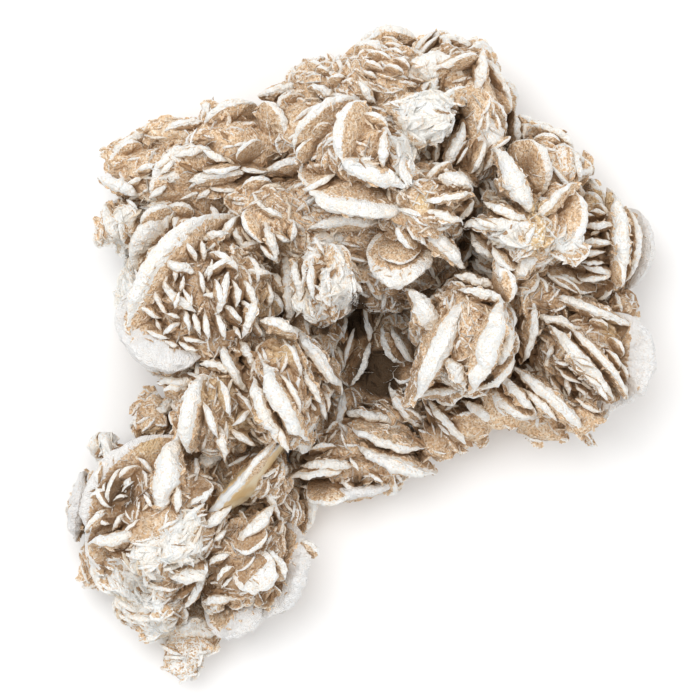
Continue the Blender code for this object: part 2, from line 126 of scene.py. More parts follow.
# Rims of the large blades: start (x, y), end (x, y), bulge to the left of that line (negative: to
# the right), width of the blunt edge, and for some the level of the foot of the rim.
RIMS = {
    "shoulder": (
        (-63, 43.5, -53, 38.5, 0.6, 2.4, 24), (-50, 42, -30, 46, 7.0, 2.4, 28),
        (-61, 46, -50, 54, 3.0, 1.6), (-47, 55, -36, 57, 1.2, 1.6), (-21, 62, -16, 52.5, 2.2, 1.8),
        (-37, 56, -24, 62, 2.6, 1.6), (-23, 64, -12, 66.5, 0.8, 1.9), (-14, 50, 2.5, 62, 4.2, 1.8),
        (-40, 41, -25, 45, 1.2, 2.1), (-36, 38, -25, 41.5, 0.8, 1.8), (-23, 43, -4, 49, 1.6, 1.7),
    ),
    "crown": (
        (-1, 45, 0.5, 60.5, 3.6, 2.5), (-3, 47, 14, 40.5, -2.0, 3.2), (8.5, 54, 7.5, 44, 0.2, 1.6),
        (12, 60, 28, 62, 0.6, 2.8), (-11, 39.5, 16, 35, -3.5, 3.2, 54),
        (-10, 30.5, 8, 32, 0.4, 1.9), (-10, 66, -2, 62, 0.4, 1.8), (2, 76.5, 16.5, 78, 3.8, 2.0),
        (13, 71, 21, 80, 0.3, 1.5), (13, 67, 27, 71, 4.5, 4.2, 41), (18, 68, 31, 73.5, 0.3, 1.4),
        (33.5, 74, 31, 63, 0.3, 2.3), (21, 78, 32, 74, 2.4, 1.6),
    ),
    "upper_right": (
        (33, 73, 40, 61, 1.6, 1.4), (41, 60, 41, 48, 1.2, 1.5), (28.5, 56, 22.5, 44, 0.3, 2.3),
        (36, 49.5, 44, 33, 0.6, 4.0, 54), (45, 52, 47, 37.5, 3.5, 2.1), (54, 51, 57, 42, 1.6, 1.6),
        (46, 56, 56, 50, 1.6, 1.5), (56, 50, 58, 42, 2.4, 1.6),
    ),
    "rosettes": (
        (21, 42, 30, 40, 1.2, 3.2), (18, 36, 29.5, 38, 0.3, 1.5), (19, 34, 27.5, 31.3, 0.4, 2.1),
        (15.5, 32.5, 28, 20.5, 0.5, 3.2), (4, 21.5, 20, 25, -7.4, 2.8, 43),
        (45, 31, 55, 41, 0.9, 1.7, 51), (37, 26, 38, 12, 0.3, 2.8, 46), (56, 39, 51, 24, 4.8, 2.4),
        (44, 32, 33, 36, 0.5, 1.9), (44, 31, 27, 31, 0.4, 2.3), (46.5, 20, 40, 14.5, 3.6, 1.9),
        (40, 17.5, 47, 24.5, 0.6, 3.4), (26, 18.5, 37, 15, 0.3, 2.1), (27, 15, 38, 12, 0.3, 1.9),
        (30, 22, 38, 17, 0.3, 2.0),
    ),
    "centre": (
        (-4, 26, -4, 12, 3.0, 1.6), (-16, 25, -15, 7, 0.4, 2.6), (-14, 22, -12, 12, 0.3, 1.7),
        (14.5, 15, 23, 2, 0.4, 4.4, 44), (8, 6, 13, -3, -2.2, 1.7), (5, 2, 0, -9, 1.0, 1.5),
    ),
    "centre_right": (
        (28, 13, 15.5, -12, 0.6, 4.0), (37, 12, 30, -10, 0.6, 4.6), (38, 7, 36, -4, 2.3, 2.6),
        (23, -1, 29, -9, 0.3, 2.8), (30, -10.5, 39, -3.5, 0.3, 1.5), (17, -11, 30, -10, 0.3, 1.9),
        (45, 13.5, 43, -3, 2.0, 1.7),
    ),
    "right": (
        (66, 39, 67, 16, 1.4, 2.6), (70, 35, 69, 17, 2.6, 1.5), (73, 35, 70, 15, 4.0, 2.6),
        (57, 30.5, 67, 31, 0.2, 1.5), (48, 14.5, 70.5, 6, 0.3, 1.9), (52, 17, 62, 11.5, 0.3, 1.5),
        (46, 9, 58, 5, 0.2, 1.6), (50, 5.5, 65, -12, 0.6, 2.5), (54, 6, 69, -11, 0.6, 1.4),
        (71, 8, 68, -14, 6.4, 3.4), (40, -3.5, 59.5, -21.5, 0.3, 2.3),
        (36.5, -6, 46, -15.5, 0.3, 1.7), (42, -9, 51.5, -17, 0.2, 1.6),
        (36, -10, 45, -16.5, -2.2, 1.7), (28, -13, 40, -19.5, 0.3, 2.4),
    ),
    "lower_centre": (
        (-1.5, -16, 11, -18, 0.3, 2.3), (1, -19.5, 18, -25, -2.0, 1.9),
        (2, -24, 21, -31.5, -1.8, 2.5), (10, -9, 21, -21.5, -1.6, 2.1),
        (19, -12, 29, -24, 0.2, 1.7), (-12, -29, 1, -29, 0.4, 2.1),
        (-9, -37.5, 12, -33.5, -0.6, 2.2),
    ),
    "left_dome": (
        (-55, 8, -36, 33.5, 4.0, 3.0), (-55, 22, -42, 36, 4.0, 3.6), (-58, 8, -37, -2.5, -7.0, 4.2),
        (-34, 36, -32, 27, 0.3, 2.2), (-37, 27, -30, 29, 0.6, 1.8), (-21.5, 32, -18, 22, 0.6, 1.8),
        (-30, 19, -33, 9, 0.3, 2.0), (-23, 13, -27, 3, 0.3, 1.9), (-46, 15, -38, 9, 0.3, 1.9),
        (-37, -3, -28, -5.5, 0.3, 1.8), (-47, 22, -38, 19, 0.3, 1.8),
    ),
    "plate_stack": (
        (-15, 6, -2, -10, 0.6, 2.8), (-22, 7.5, -13, 4, 1.2, 2.2, 44),
        (-21.5, -3, -11.5, -22, -0.8, 3.6), (-24.5, -7, -17.5, -22.5, -0.4, 3.2),
        (-28, 3, -23, -5, 0.3, 1.9), (-34, 4, -24.5, -12, -0.6, 2.1), (-12, -5, -7, -13, 0.2, 1.5),
        (-9.5, -9, -6, -17, 0.2, 1.5), (-2, -9, -8.5, -27, 2.6, 1.9),
    ),
    "neck": (
        (-48, -8, -37, -8.5, 0.3, 2.2), (-52, -17, -42, -13, 0.3, 3.0),
        (-36.5, -6.5, -40.5, -24.5, -2.0, 3.0), (-33, -18, -31, -27, 0.3, 1.9),
        (-43, -20.5, -46.5, -41, -0.6, 4.6), (-31, -23, -40, -31, 0.5, 3.6),
    ),
    "dish": (
        (-48, -20, -66, -48, -7.5, 3.0), (-67, -31, -70, -48, -1.0, 3.0),
        (-55, -28, -56.5, -37, 0.3, 1.5), (-65, -38.5, -56, -39.5, 0.2, 1.5),
        (-65, -48.5, -50, -46, 0.4, 2.8, 33), (-64, -51, -57, -62, -0.6, 2.2),
    ),
    "lower_left": (
        (-37, -44, -17.5, -23.5, 1.0, 2.2), (-28.5, -49, -19, -39, 0.3, 2.7),
        (-45, -56, -35.5, -55, -2.2, 2.0), (-36, -55, -41, -64.5, 0.3, 1.9),
        (-37, -63, -28.5, -62, 0.2, 1.9), (-27, -60, -19, -52, -4.2, 3.2),
        (-46, -66, -32, -68, -6.2, 3.4), (-33, -72, -22, -61.5, -4.4, 3.2),
        (-12, -31, -11, -46, 2.6, 2.0), (-12, -46, -20, -67, 4.6, 3.2),
        (-21, -50, -16, -57, 1.6, 1.8),
    ),
}
HONEY_BLADES = (("lower_left", 0),)  # clear honey-coloured blades, by region and row
# Depth of the chalky coat, for blades where it reaches far down from the rim.
CHALKY = {
    ("shoulder", 0): 3.0, ("shoulder", 1): 2.6, ("left_dome", 0): 3.0, ("left_dome", 1): 4.5,
    ("left_dome", 2): 6.0, ("dish", 0): 2.0, ("dish", 1): 5.0, ("dish", 5): 3.0, ("right", 0): 3.2,
    ("right", 2): 4.0, ("right", 9): 6.0, ("lower_left", 5): 5.0, ("lower_left", 6): 4.5,
    ("lower_left", 7): 5.0, ("lower_left", 9): 4.5, ("lower_left", 2): 3.0, ("rosettes", 4): 3.6,
    ("crown", 9): 4.5, ("crown", 4): 2.4, ("upper_right", 3): 2.6, ("lower_centre", 2): 3.0,
    ("lower_centre", 6): 3.0, ("neck", 4): 3.4, ("neck", 2): 2.6,
}
# Blades with fine grooves that run down from the rim.
GROOVED = (("left_dome", 2), ("dish", 0), ("dish", 1), ("right", 2), ("right", 9),
           ("lower_left", 7), ("lower_left", 9), ("lower_centre", 6))

# Rims of smaller blades, which stand on the surface of the solid.
SMALL_RIMS = (
    (-28, 48, -23, 52, 1.6, 1.0), (-9, 54, -5, 55.5, 0.3, 0.9), (-6, 52, -3, 53, 0.3, 0.8),
    (-58, 50, -53, 52, 0.8, 1.0), (3, 57.5, 9, 55, 0.4, 1.2), (2.5, 66, 6, 61, 0.3, 2.0),
    (-8, 64, -4, 62.5, 0.2, 1.0), (-5, 67.5, -1, 67.5, 0.3, 1.1), (-10, 72, -7, 70, 0.3, 0.9),
    (-8, 70.5, -5, 69, 0.3, 0.9), (-6, 69.5, -3, 68, 0.3, 1.0), (2, 76, 8, 74, 0.8, 2.2),
    (8, 78, 12, 76.5, 0.3, 1.0), (9, 76, 13, 74.5, 0.3, 1.0), (10, 74.5, 13, 73, 0.3, 0.9),
    (14.5, 70, 22, 78.5, 0.2, 1.0), (25, 70.5, 31, 73, 0.3, 1.2), (17, 50, 20, 45, 0.5, 1.9),
    (21.5, 51, 21, 46, 0.3, 1.4), (-11, 39.5, -4, 43, 0.8, 1.6), (36, 65, 40, 60, 1.0, 1.1),
    (28.5, 51.5, 24, 45, 0.2, 1.2), (33, 51, 30, 44, 0.3, 1.5), (35, 49, 33, 44.5, 0.2, 1.2),
    (29, 50, 26.5, 46, 0.2, 0.8), (46, 52.5, 52, 52, 0.4, 1.0), (42, 58.5, 45.5, 56, 0.8, 1.2),
    (19, 41, 24, 46, 0.2, 1.4), (24.5, 41.5, 20.5, 46, 0.2, 1.2), (27, 45, 31, 40.5, 0.2, 1.1),
    (32, 40, 36, 36.5, 0.3, 1.5), (36, 42, 38.5, 38, 0.2, 1.5), (26.5, 32, 30, 36.5, 0.4, 1.7),
    (30.5, 37.5, 34.5, 33, 0.3, 2.0), (12, 31.5, 15, 25, 0.3, 1.6), (17, 29, 18.5, 26, 0.2, 1.1),
    (-3, 23.5, 5, 22, 0.4, 0.8), (8, 23, 17, 24.5, -0.5, 0.8), (3, 15, 5, 3, 0.2, 1.0),
    (4, 71, 8, 69, 0.3, 0.9), (5, 73.5, 10, 71.5, 0.3, 0.9), (9, 70, 13, 68.5, 0.3, 0.9),
    (11, 72, 14.5, 70, 0.3, 0.9), (3.5, 68.5, 6.5, 67, 0.3, 0.9), (48, 22, 60, 14.5, 0.2, 1.1),
    (49, 18, 57, 14, 0.2, 0.9), (-13, 48, -8, 52, 0.3, 1.0), (43, 26, 45, 30, 0.2, 1.3),
    (35, 25, 40, 20, 0.3, 1.8), (38, 20, 39.5, 12.5, 0.3, 1.8), (30, 29, 36, 23, 0.3, 2.0),
    (31, 32, 36, 30, 0.3, 1.5), (30, 26, 28, 22, 0.2, 1.2), (-9, 22, -9, 13, 0.2, 1.4),
    (3.5, 10, 5, 2.5, 0.2, 1.6), (10.9, 5, 16, -2.7, -1.4, 1.9), (11.5, -7.5, 16.5, -6, -1.4, 1.4),
    (-2, 10, -4, 2, 0.2, 1.2), (-4, 1, -2, -5, 0.2, 1.2), (1, 5, -1, -3, 0.2, 1.2),
    (40, -2, 31, -9, 0.3, 2.0), (57, 26.5, 65, 26.7, 0.2, 1.4), (60, 28.5, 62, 29.5, 0.2, 1.0),
    (58, 21, 66, 19, 0.3, 1.6), (57.5, 18, 66, 19.5, 0.2, 1.4), (62, 12.5, 66, 18, 0.3, 1.4),
    (66.5, 22, 67.5, 16, 0.3, 1.2), (51, 20, 58, 17, 0.3, 1.4), (50.5, 1, 49, -2, 0.6, 1.4),
    (60, -18.5, 65, -15, -0.8, 1.8), (52, -5, 57, -8, 0.2, 0.9), (54, -4, 58, -6, 0.2, 0.8),
    (56, -8, 60, -12, 0.2, 0.9), (53, -9, 56, -13, 0.2, 0.8), (58, -6, 62, -9, 0.2, 0.9),
    (50, -7, 53, -11, 0.2, 0.9), (57, -13, 61, -15, 0.2, 0.9), (55, -2, 60, -4, 0.2, 0.9),
    (51, -3, 55, -3.5, 0.2, 0.8), (-12, -34.5, -4, -35, 0.3, 1.6), (-2, -32, 2, -35.5, 0.2, 1.2),
    (0, -27, 2, -30, 0.2, 1.0), (5, -31, 8, -33, 0.2, 1.0), (-10, -25, -4, -24, 0.3, 1.1),
    (-30, 33, -26, 26, 0.3, 2.2), (-26, 34, -22, 27, -1.2, 1.3), (-19, 29, -15, 27, 0.2, 1.2),
    (-14, 32, -15, 27, 0.2, 1.2), (-21.5, 35, -17, 33, 0.3, 1.3), (-28, 24.5, -22, 26.5, 0.3, 1.5),
    (-36, 18, -30, 22.5, 0.3, 1.6), (-36, 13.5, -32, 13.5, 0.2, 1.3), (-37, 19, -36, 14, 0.3, 1.3),
    (-37, 27, -36, 22, 0.3, 1.3), (-26, 19, -20, 19, 0.2, 1.8), (-26.5, 17, -24, 11, 0.3, 1.6),
    (-22, 26, -18, 22, 0.2, 1.3), (-23, 15, -17, 10.5, 0.3, 1.5), (-31, 11, -27, 7, 0.3, 1.5),
    (-29, 6, -27, 3, 0.2, 1.2), (-27, 12, -24, 9, 0.2, 1.1), (-33, 9, -31, 3, 0.3, 1.5),
    (-38.5, 9, -37, 4, 0.2, 1.4), (-40.5, 10, -39.5, 5, 0.2, 1.2), (-41, 15, -39, 11, 0.2, 1.2),
    (-41, 3, -37, 2.5, 0.2, 1.1), (-42, 2, -38, 0, 0.2, 1.2), (-46, 4, -42, 7, 0.3, 1.3),
    (-45, 9, -42, 8, 0.2, 1.0), (-15.5, 1, -12.5, -6, 0.2, 1.5), (-18, -18, -15.5, -25, 0.2, 1.6),
    (-17, -6.5, -12.5, -15, 0.2, 1.5), (-7, -10.5, -5.5, -15, 0.2, 1.2),
    (-11, -24, -13, -28, 0.2, 1.4), (-46, -10, -40, -10, 0.3, 1.7), (-36, -13, -33, -21, 0.2, 1.8),
    (-32, -8, -30, -16, 0.2, 1.6), (-30, -19, -24, -23.5, 0.2, 1.5), (-28, -11, -24, -16, 0.2, 1.4),
    (-29, -18.5, -25, -14.5, 0.2, 1.3), (-57, -30, -60, -38, 0.2, 1.3),
    (-54, -33, -57, -35.5, 0.2, 1.0), (-59, -37.5, -55.5, -36.5, 0.2, 1.0),
    (-64.5, -36.5, -60.5, -35, 0.2, 1.1), (-61, -33, -61, -36, 0.2, 0.9),
    (-64.5, -45, -61, -40, 0.2, 1.2), (-63, -42, -60, -43.5, 0.2, 1.1),
    (-64, -21, -64.5, -27, -0.8, 1.6), (-43, -34, -43, -40, 0.3, 1.7),
    (-40, -39, -35, -36, 0.8, 1.5), (-51, -36, -49, -39, 0.2, 1.1),
    (-27, -33, -19, -23.5, 0.2, 1.5), (-28, -50, -21, -46, -2.6, 1.6),
    (-35, -53, -30.5, -51, 0.3, 1.7), (-33, -57, -29.5, -54, 0.6, 1.7),
    (-34, -47.5, -31, -45, 0.6, 1.3), (-22, -34, -18, -42, 0.4, 1.6),
    (-52, 32, -45.5, 35.5, 0.6, 1.6), (-45.5, 35.5, -39.5, 35, 0.5, 1.6),
    (-40, 42, -36, 44.5, 0.3, 1.4), (-36, 44.7, -28, 45.5, 0.3, 1.4),
    (-27.5, 45.5, -21, 44.5, 0.3, 1.4), (-38, 38, -35, 40.5, 0.3, 1.3),
    (-35, 40.8, -27, 41.3, 0.3, 1.3), (-26.5, 41, -20, 42, 0.3, 1.3), (-50, 38, -46, 41, 0.3, 1.5),
    (-47, 44, -44, 47, 0.3, 1.5), (-43, 48.5, -37, 49.5, 0.5, 1.8),
    (-36.5, 49.5, -31, 47, 0.5, 1.8), (-56, 41, -52, 43, 0.3, 1.3), (-53, 45, -48, 46, 0.3, 1.3),
    (-61, 36, -58, 28, 0.3, 2.6), (-9, -14, -6, -18, 0.5, 1.2), (14, -15, 18, -18, 0.2, 1.0),
    (19, -14, 22, -17, 0.2, 1.0), (16, -19, 20, -17, 0.2, 1.0), (23, -16, 27, -14, 0.2, 1.0),
    (-41, -38.5, -34.5, -34, -1.6, 2.2), (-37, -44, -30, -39, 0.3, 2.4),
    (-12, -48, -8, -51, 0.3, 1.8), (-14, -31, -2, -30, 1.0, 2.0), (-10, -37, 0, -36, -0.6, 1.8),
    (-64, -52, -58, -61, -1.4, 3.0), (-56, -41, -59, -45, 0.2, 1.2), (-62, -29, -63, -33, 0.2, 1.1),
    (-58, -33, -53, -29, 0.2, 1.2), (-53, -27, -49, -31, 0.2, 1.1), (-61, -41, -66, -45, 0.2, 1.2),
    (-63, -34, -60, -39, 0.2, 1.2), (-52, 12, -47, 8, 0.2, 1.2), (-50, 5, -45, 3, 0.2, 1.2),
    (-46, 17, -43, 13, 0.2, 1.2), (-49, 16, -46, 11, 0.2, 1.2), (-34, 24, -28, 20, 0.3, 1.6),
    (-25, 23, -23, 17, 0.3, 1.6), (-32, 27, -28, 33, 0.3, 1.6), (-41, 27, -38, 22, 0.2, 1.4),
    (-20, 19, -17, 13, 0.3, 1.6), (-33, 17, -32, 11, 0.3, 1.5), (-29, 17, -28, 11, 0.3, 1.5),
    (-36, 9, -35, 3, 0.3, 1.5), (-43, 21, -43, 17, 0.2, 1.1), (-45, 19, -46, 15, 0.2, 1.0),
    (-41, 18, -41.5, 14, 0.2, 1.0), (-42, 14, -43, 10.5, 0.2, 1.0), (-48, 8, -46.5, 4.5, 0.2, 1.1),
    (-46, 2.5, -42.5, 1, 0.2, 1.1), (-39, 13.5, -39.5, 10, 0.2, 1.1), (-47.5, 12, -45, 9, 0.2, 1.1),
    (-34, 22, -35, 17, 0.2, 1.2), (-25.5, 8, -22, 4, 0.2, 1.3), (-21, 17, -20.5, 11, 0.2, 1.3),
    (57, 24, 63, 24.4, 0.2, 1.2), (58, 22, 63, 21.6, 0.2, 1.1), (60, 34.5, 64, 33.5, 0.2, 1.2),
    (62, 36.5, 64.5, 32, 0.2, 1.1), (63.5, 29.5, 65, 25.5, 0.2, 1.1),
    (57, 32.8, 60.5, 33.6, 0.2, 1.2), (60, 7.5, 64, 6, 0.2, 1.1), (65, 3, 68, -1, 0.2, 1.1),
    (63.5, 0, 67, -4, 0.2, 1.1), (66.5, -3, 69, -7.5, 0.2, 1.1), (54, -6.5, 54.5, -11, 0.2, 1.2),
    (57.5, -9, 58, -14, 0.2, 1.2), (60.5, -8, 63.5, -12, 0.2, 1.2),
)

# Crumbly knobs where crystals have worn away or grown in a heap: x, y, half widths along x and y,
# height above the solid, chalk.
LUMPS = (
    (18, 57, 6.4, 5.6, 3.5, 1.0), (22, 61.5, 5.0, 2.6, 3.0, 1.0), (20, 66, 2.4, 2.6, 1.5, 1.0),
    (14, 52, 2.5, 4.0, 1.5, 0.9), (12, 44, 3.6, 3.6, 1.5, 0.9), (3, 44.5, 3.5, 2.0, 1.0, 0.9),
    (34, 53, 3.6, 5.5, 1.0, 0.6), (53, 47, 4.0, 4.5, 1.0, 0.5), (40, 28.5, 4.5, 3.0, 2.0, 0.95),
    (45, 28, 2.6, 2.4, 1.5, 0.4), (53, 26, 4.0, 3.4, 1.5, 0.9), (-8, 21, 4.0, 5.0, 1.5, 0.75),
    (-3, 18, 3.0, 5.0, 1.0, 0.8), (-10, 12, 3.5, 4.0, 1.5, 0.6), (-6, 27, 4.0, 3.0, 1.0, 0.7),
    (-57, 48, 5.5, 5.0, 2.0, 0.15), (-60, 31, 3.2, 4.5, 1.0, 0.4), (-56, 34, 3.0, 2.6, 1.0, 0.4),
    (-45, 55, 6.0, 3.5, 1.0, 0.2), (29, -19, 6.0, 4.5, 1.5, 0.05), (37, -16.5, 6.0, 4.0, 1.5, 0.05),
    (48, -19, 6.5, 4.5, 1.5, 0.05), (57, -17.5, 4.5, 4.0, 1.0, 0.1), (23, -23, 4.5, 4.0, 1.0, 0.1),
    (-50, -51, 4.5, 5.0, 2.5, 0.8), (-42, -49, 5.0, 4.0, 2.5, 1.0),
    (-40, -43.5, 3.0, 2.4, 2.5, 1.0), (-47, -44, 4.0, 3.6, 2.0, 0.2),
    (-42, -77, 5.0, 6.0, 1.5, 0.3), (-37, -75, 2.8, 2.6, 1.0, 0.3), (-56, -56, 5.0, 5.5, 2.0, 0.4),
    (-53, -64, 5.0, 4.5, 2.0, 0.4), (-48, -58, 2.6, 7.0, 2.5, 0.6),
    (-45, 43.5, 4.0, 2.6, 1.4, 0.45), (-38.5, 46, 3.6, 2.0, 1.0, 0.15),
    (-37, 39.5, 4.0, 1.8, 1.2, 0.35), (-27, 40, 4.5, 1.8, 1.0, 0.4),
    (-47, 36.5, 3.6, 2.2, 1.0, 0.5), (-49, -69, 4.0, 4.0, 1.5, 0.45),
    (-58, -51, 4.0, 4.0, 1.0, 0.6), (-50, -15, 5.0, 3.0, 0.5, 0.1),
)
# Sandy places where few crystals grow: x, y, radius.
SANDY = (
    (-57, 48, 6), (-27, 52, 8), (-44, 56, 5), (30, -18, 7), (37, -17, 6), (48, -19, 7),
    (57, -18, 4), (23, -23, 5), (-47, -44, 5), (3, 53, 5), (38, 66, 5), (53, 33, 5), (66, 6, 4),
    (62, 38, 4), (-49, -2, 8), (74, -3, 9), (-13, -58, 8), (35, 58, 8), (53, 47, 6), (26, 67, 6),
    (8, -5, 6), (2, 8, 4), (-12, 57, 5), (-45, 41, 5), (44, 46, 3), (-42, -77, 8), (10, 27, 4),
)
SANDY_DENSITY = 0.08  # share of the crystals that grow there all the same
# Hollows painted dark brown for the shade in them, with few medium or small crystals: x, y, radius,
# how much.
SHADED_HOLLOWS = (
    (7, -6, 13, 1.0), (2, 6, 7, 1.0), (-57, -36, 10, 0.9), (-36, -36, 6, 0.8), (-34, -44, 5, 0.4),
    (-28, -14, 6, 0.4), (57, 17, 11, 0.5), (62, 4, 6, 0.5), (57, -7, 8, 0.35), (-41, -76, 6, 0.3),
    (48, 10, 5, 0.8), (45, -1, 5, 0.8), (43, 46, 5, 0.8), (27, 57, 3.5, 1.0), (-35, 51, 3, 0.9),
    (-26, 47, 6, 0.6), (-40, 43, 5, 0.5), (-8, -33, 5, 1.0), (2, -33, 4, 0.9), (22, -17, 8, 0.8),
    (34, -7, 3.5, 1.0), (-30, -57, 8, 0.7), (-22, -62.5, 3, 0.9), (-62, -54, 3.5, 0.9),
    (-54, -51, 4, 0.7), (30, 33, 4, 0.8), (27, 48, 4, 0.7), (-24, 18, 9, 0.4), (27, 76, 6, 0.5),
    (8, 33, 8, 0.4), (62, 2, 6, 0.4), (-12, -42, 4, 0.5), (63, 26, 5, 0.3), (-14, -26, 4, 0.7),
    (-4, -22, 5, 0.6), (-23, -50, 7, 0.72), (-20, -34, 5, 0.5), (-14, -40, 5, 0.5),
    (-34, -53, 6, 0.74), (-39, -60, 6, 0.7), (-30, 8, 14, 0.5), (-36, 18, 9, 0.5),
    (-18, -8, 8, 0.3), (13, 14, 5, 0.8), (23, 17, 5, 0.7), (2, 12, 5.5, 1.0), (8, -2, 5.5, 1.0),
    (9, -10, 5, 1.0), (-6.5, 5, 3, 1.0), (28.5, 31, 4, 1.0), (28, 26, 3, 1.0),
)
# Places white with powdered gypsum: x, y, radius, how much.
POWDERY = (
    (18, 57, 9, 1.0), (21, 62, 6, 1.0), (20, 66, 4, 0.9), (13, 50, 5, 0.8), (3, 45, 5, 0.7),
    (12, 43, 5, 0.8), (-7, 18, 9, 0.55), (-10, 12, 6, 0.5), (-2, 14, 5, 0.8), (-14, 12, 5, 0.8),
    (-5, 27, 5, 0.7), (39, 28, 5, 0.9), (37, 24, 4, 0.6), (-50, 34, 7, 0.4), (54, 26, 5, 0.65),
    (-63, -24, 7, 0.9), (-50, -51, 6, 0.7), (-42, -49, 7.5, 0.95), (-40, -43, 4, 0.9),
    (-58, -58, 7, 0.4), (-56, 14, 8, 0.9), (-58, 24, 7, 0.85), (-57, 32, 6, 0.6),
    (-52, -52, 5, 0.7), (34, 54, 4, 0.4), (12, 0, 6, 0.2), (57, -8, 9, 0.25), (49, -3, 5, 0.2),
    (-42, -78, 9, 0.3), (-37, -75, 5, 0.2), (-53, -62, 9, 0.7), (-48, -70, 6, 0.7),
    (-40, -69, 6, 0.5), (-26, 61, 5, 0.4), (-10, 34, 6, 0.3), (-46, 44, 8, 0.3), (23, -5, 6, 0.3),
)
# Places with honey-yellow sand: x, y, radius, how much.
AMBER = (
    (18, 36, 3, 0.8), (46, 34, 4, 0.9), (46, 28, 5, 0.9), (-17, 0, 5, 0.6), (-27, -19, 6, 0.6),
    (-28, -36, 6, 0.8), (63, 38, 4, 0.8), (66, 5, 4, 0.6), (-50, -23, 5, 0.6), (-33, -10, 6, 0.5),
    (-20, 12, 6, 0.4),
)

# Growth of the smaller crystals: radius, rim over radius to the power of RIM_POWER, least distance
# apart, distance from larger rims, share of the radius that stands out, lean, scatter of the
# heading, for some how much they turn to the face they stand on, and how chalky they are. Patchy
# ones grow in patches, and thickly in the hollows. Then come the places that are tried, the points
# along a crest, the lines beside it, and whether the faces are flat.
GROWTH_SEED = 7
MEDIUM = {"radius": (2.8, 5.2), "rim": (0.24, 0.38), "spacing": 4.3, "clear": 1.2,
          "shows": (0.35, 0.6), "lean": 0.24, "jitter": 0.5, "chalk": (0.3, 1.0), "patchy": False,
          "tries": 60000, "steps": 7, "lines": ((0.36, 0.0, 0.8), (0.5, 0.32, -0.8)), "flat": False}
SMALL = {"radius": (2.0, 3.8), "rim": (0.22, 0.36), "spacing": 2.6, "clear": 0.6,
         "shows": (0.28, 0.52), "lean": 0.24, "jitter": 0.7, "chalk": (0.4, 1.0), "patchy": False,
         "tries": 120000, "steps": 6, "lines": ((0.36, 0.0, 0.7),), "flat": True}
SLIVER = {"radius": (1.5, 3.4), "rim": (0.2, 0.34), "spacing": 1.5, "clear": 0.3,
          "shows": (0.25, 0.55), "lean": 0.26, "jitter": 0.9, "chalk": (0.4, 1.0), "patchy": True,
          "tries": 300000, "steps": 5, "lines": (), "flat": True}
CRUST = {"radius": (0.9, 2.2), "rim": (0.2, 0.34), "spacing": 1.6, "clear": 0.6,
         "shows": (0.25, 0.5), "lean": 0.4, "jitter": 1.5, "pull": 1.6, "chalk": (0.2, 0.9),
         "patchy": True, "tries": 90000, "steps": 4, "lines": (), "flat": True}
SIZE_SKEW = 1.6  # above 1, small ones are more common
RIM_POWER = 0.6
UPRIGHT = 1.4  # how much a grown crystal turns to the vertical
FACE_PULL = 0.35  # how much it turns to the face it stands on
HEADING_RISE = 0.25  # scatter of its heading, up and down
DEEPEST = 5.0  # below the surface of the solid
LOWEST = 0.6  # above the floor
LEAST_OPEN = 0.12
UNDERSIDE = -0.35  # upward part of the normal, below which a face counts as underside
UNDERSIDE_DENSITY = 0.35  # chance of keeping a crystal there
HEADING_SOFTNESS = 9.0  # square millimetres, in the pull of a blade on its neighbours' direction
PATCHINESS = (0.55, 0.7, 9.0)  # share of patchy ones kept, how much that varies, over what distance
ZONE_EDGE = 1.6  # how fast a zone fades out towards its radius
CREST_POINTS = 13  # along a crest, for keeping others clear of it
ABOVE_ALL = 200  # a level over the whole cluster

# Rings of a blade from the crest inwards: inset in rim widths, and the most it may be as a share
# of the radius. The lines of a small crystal, above: drop in rim widths and in radii, and chalk.
FINE_RINGS = ((0.1, 0.03), (0.34, 0.1), (0.8, 0.2), (1.5, 0.3), (2.6, 0.42), (6.0, 0.65))
PLAIN_RINGS = ((0.12, 0.05), (0.36, 0.15), (1.1, 0.4), (3.0, 0.7))
FLANK_INSETS = ((0.12, 0.04), (0.36, 0.12), (1.6, 0.45))
WHITE_DEPTH = 0.42  # how far down a blade its chalky coat reaches, over the rim's width
# Pieces of placed blades: rings, spokes, depth of the chalky coat as above, belly.
PLACED_PIECES = {
    "large_blades": (FINE_RINGS, 76, WHITE_DEPTH, BELLY),
    "more_large_blades": (FINE_RINGS, 76, WHITE_DEPTH, BELLY),
    "flank_blades": (FLANK_INSETS, 28, WHITE_DEPTH, BELLY),
    "placed_blades": (PLAIN_RINGS, 24, 0.5, SMALL_BELLY),
    "honey_blades": (FINE_RINGS, 56, 0.3, BELLY),
}
GUIDING = ("large_blades", "more_large_blades", "placed_blades")  # set the heading of others
CREST_POWER = 0.75  # above 0, how fast the rim thins towards its ends
CREST_FLAT = 0.42  # thickness of the crest itself, over that of the rim
CREST_BAND = 0.2  # inset up to which a point belongs to the crest, in rim widths
SHOULDER = 0.34  # inset at which the bevelled crest reaches full thickness, in rim widths
TAPER_LEFT = 0.12  # thickness of the rim where it goes under, over that at the top
WAVES_AROUND = (2.4, 4.5, 11.0)  # how often three waves of the rim's shape change around it
APART = 7.3  # distance between blades in the noise behind the waves
RIM_UNEVEN = 0.24  # change of the rim's thickness along it
SWAY = 0.3  # sideways swing of the rim, over its thickness
SWAY_FADE = (1.6, 0.6)  # of the swing towards the middle of a blade
BOW = 0.05  # sideways bend of a blade, over its radius
BOW_LEVEL = 0.4
OUTLINE_WAVE = 0.07  # of the outline, over the radius
LEAST_WAVE = 0.3  # share of it at the top of the rim
NOTCH = 0.012  # of the crest, over the radius
ARC_SHARE = 0.8  # share of the spokes on the part that stands out
ARC_MARGIN = 1.15  # how far that part goes, over the half angle that stands out
LEAST_ARC = 0.5
MOST_ARC = 2.6
END_CHALK = 0.35  # depth of the chalky coat where the rim goes under, over that at the top
CHALK_FADE = 0.55  # width over which the coat ends, in rim widths
FIN_MARGIN = 1.05  # as ARC_MARGIN, for small crystals
FIN_POWER = 0.8  # as CREST_POWER
FIN_NOTCH = 0.04
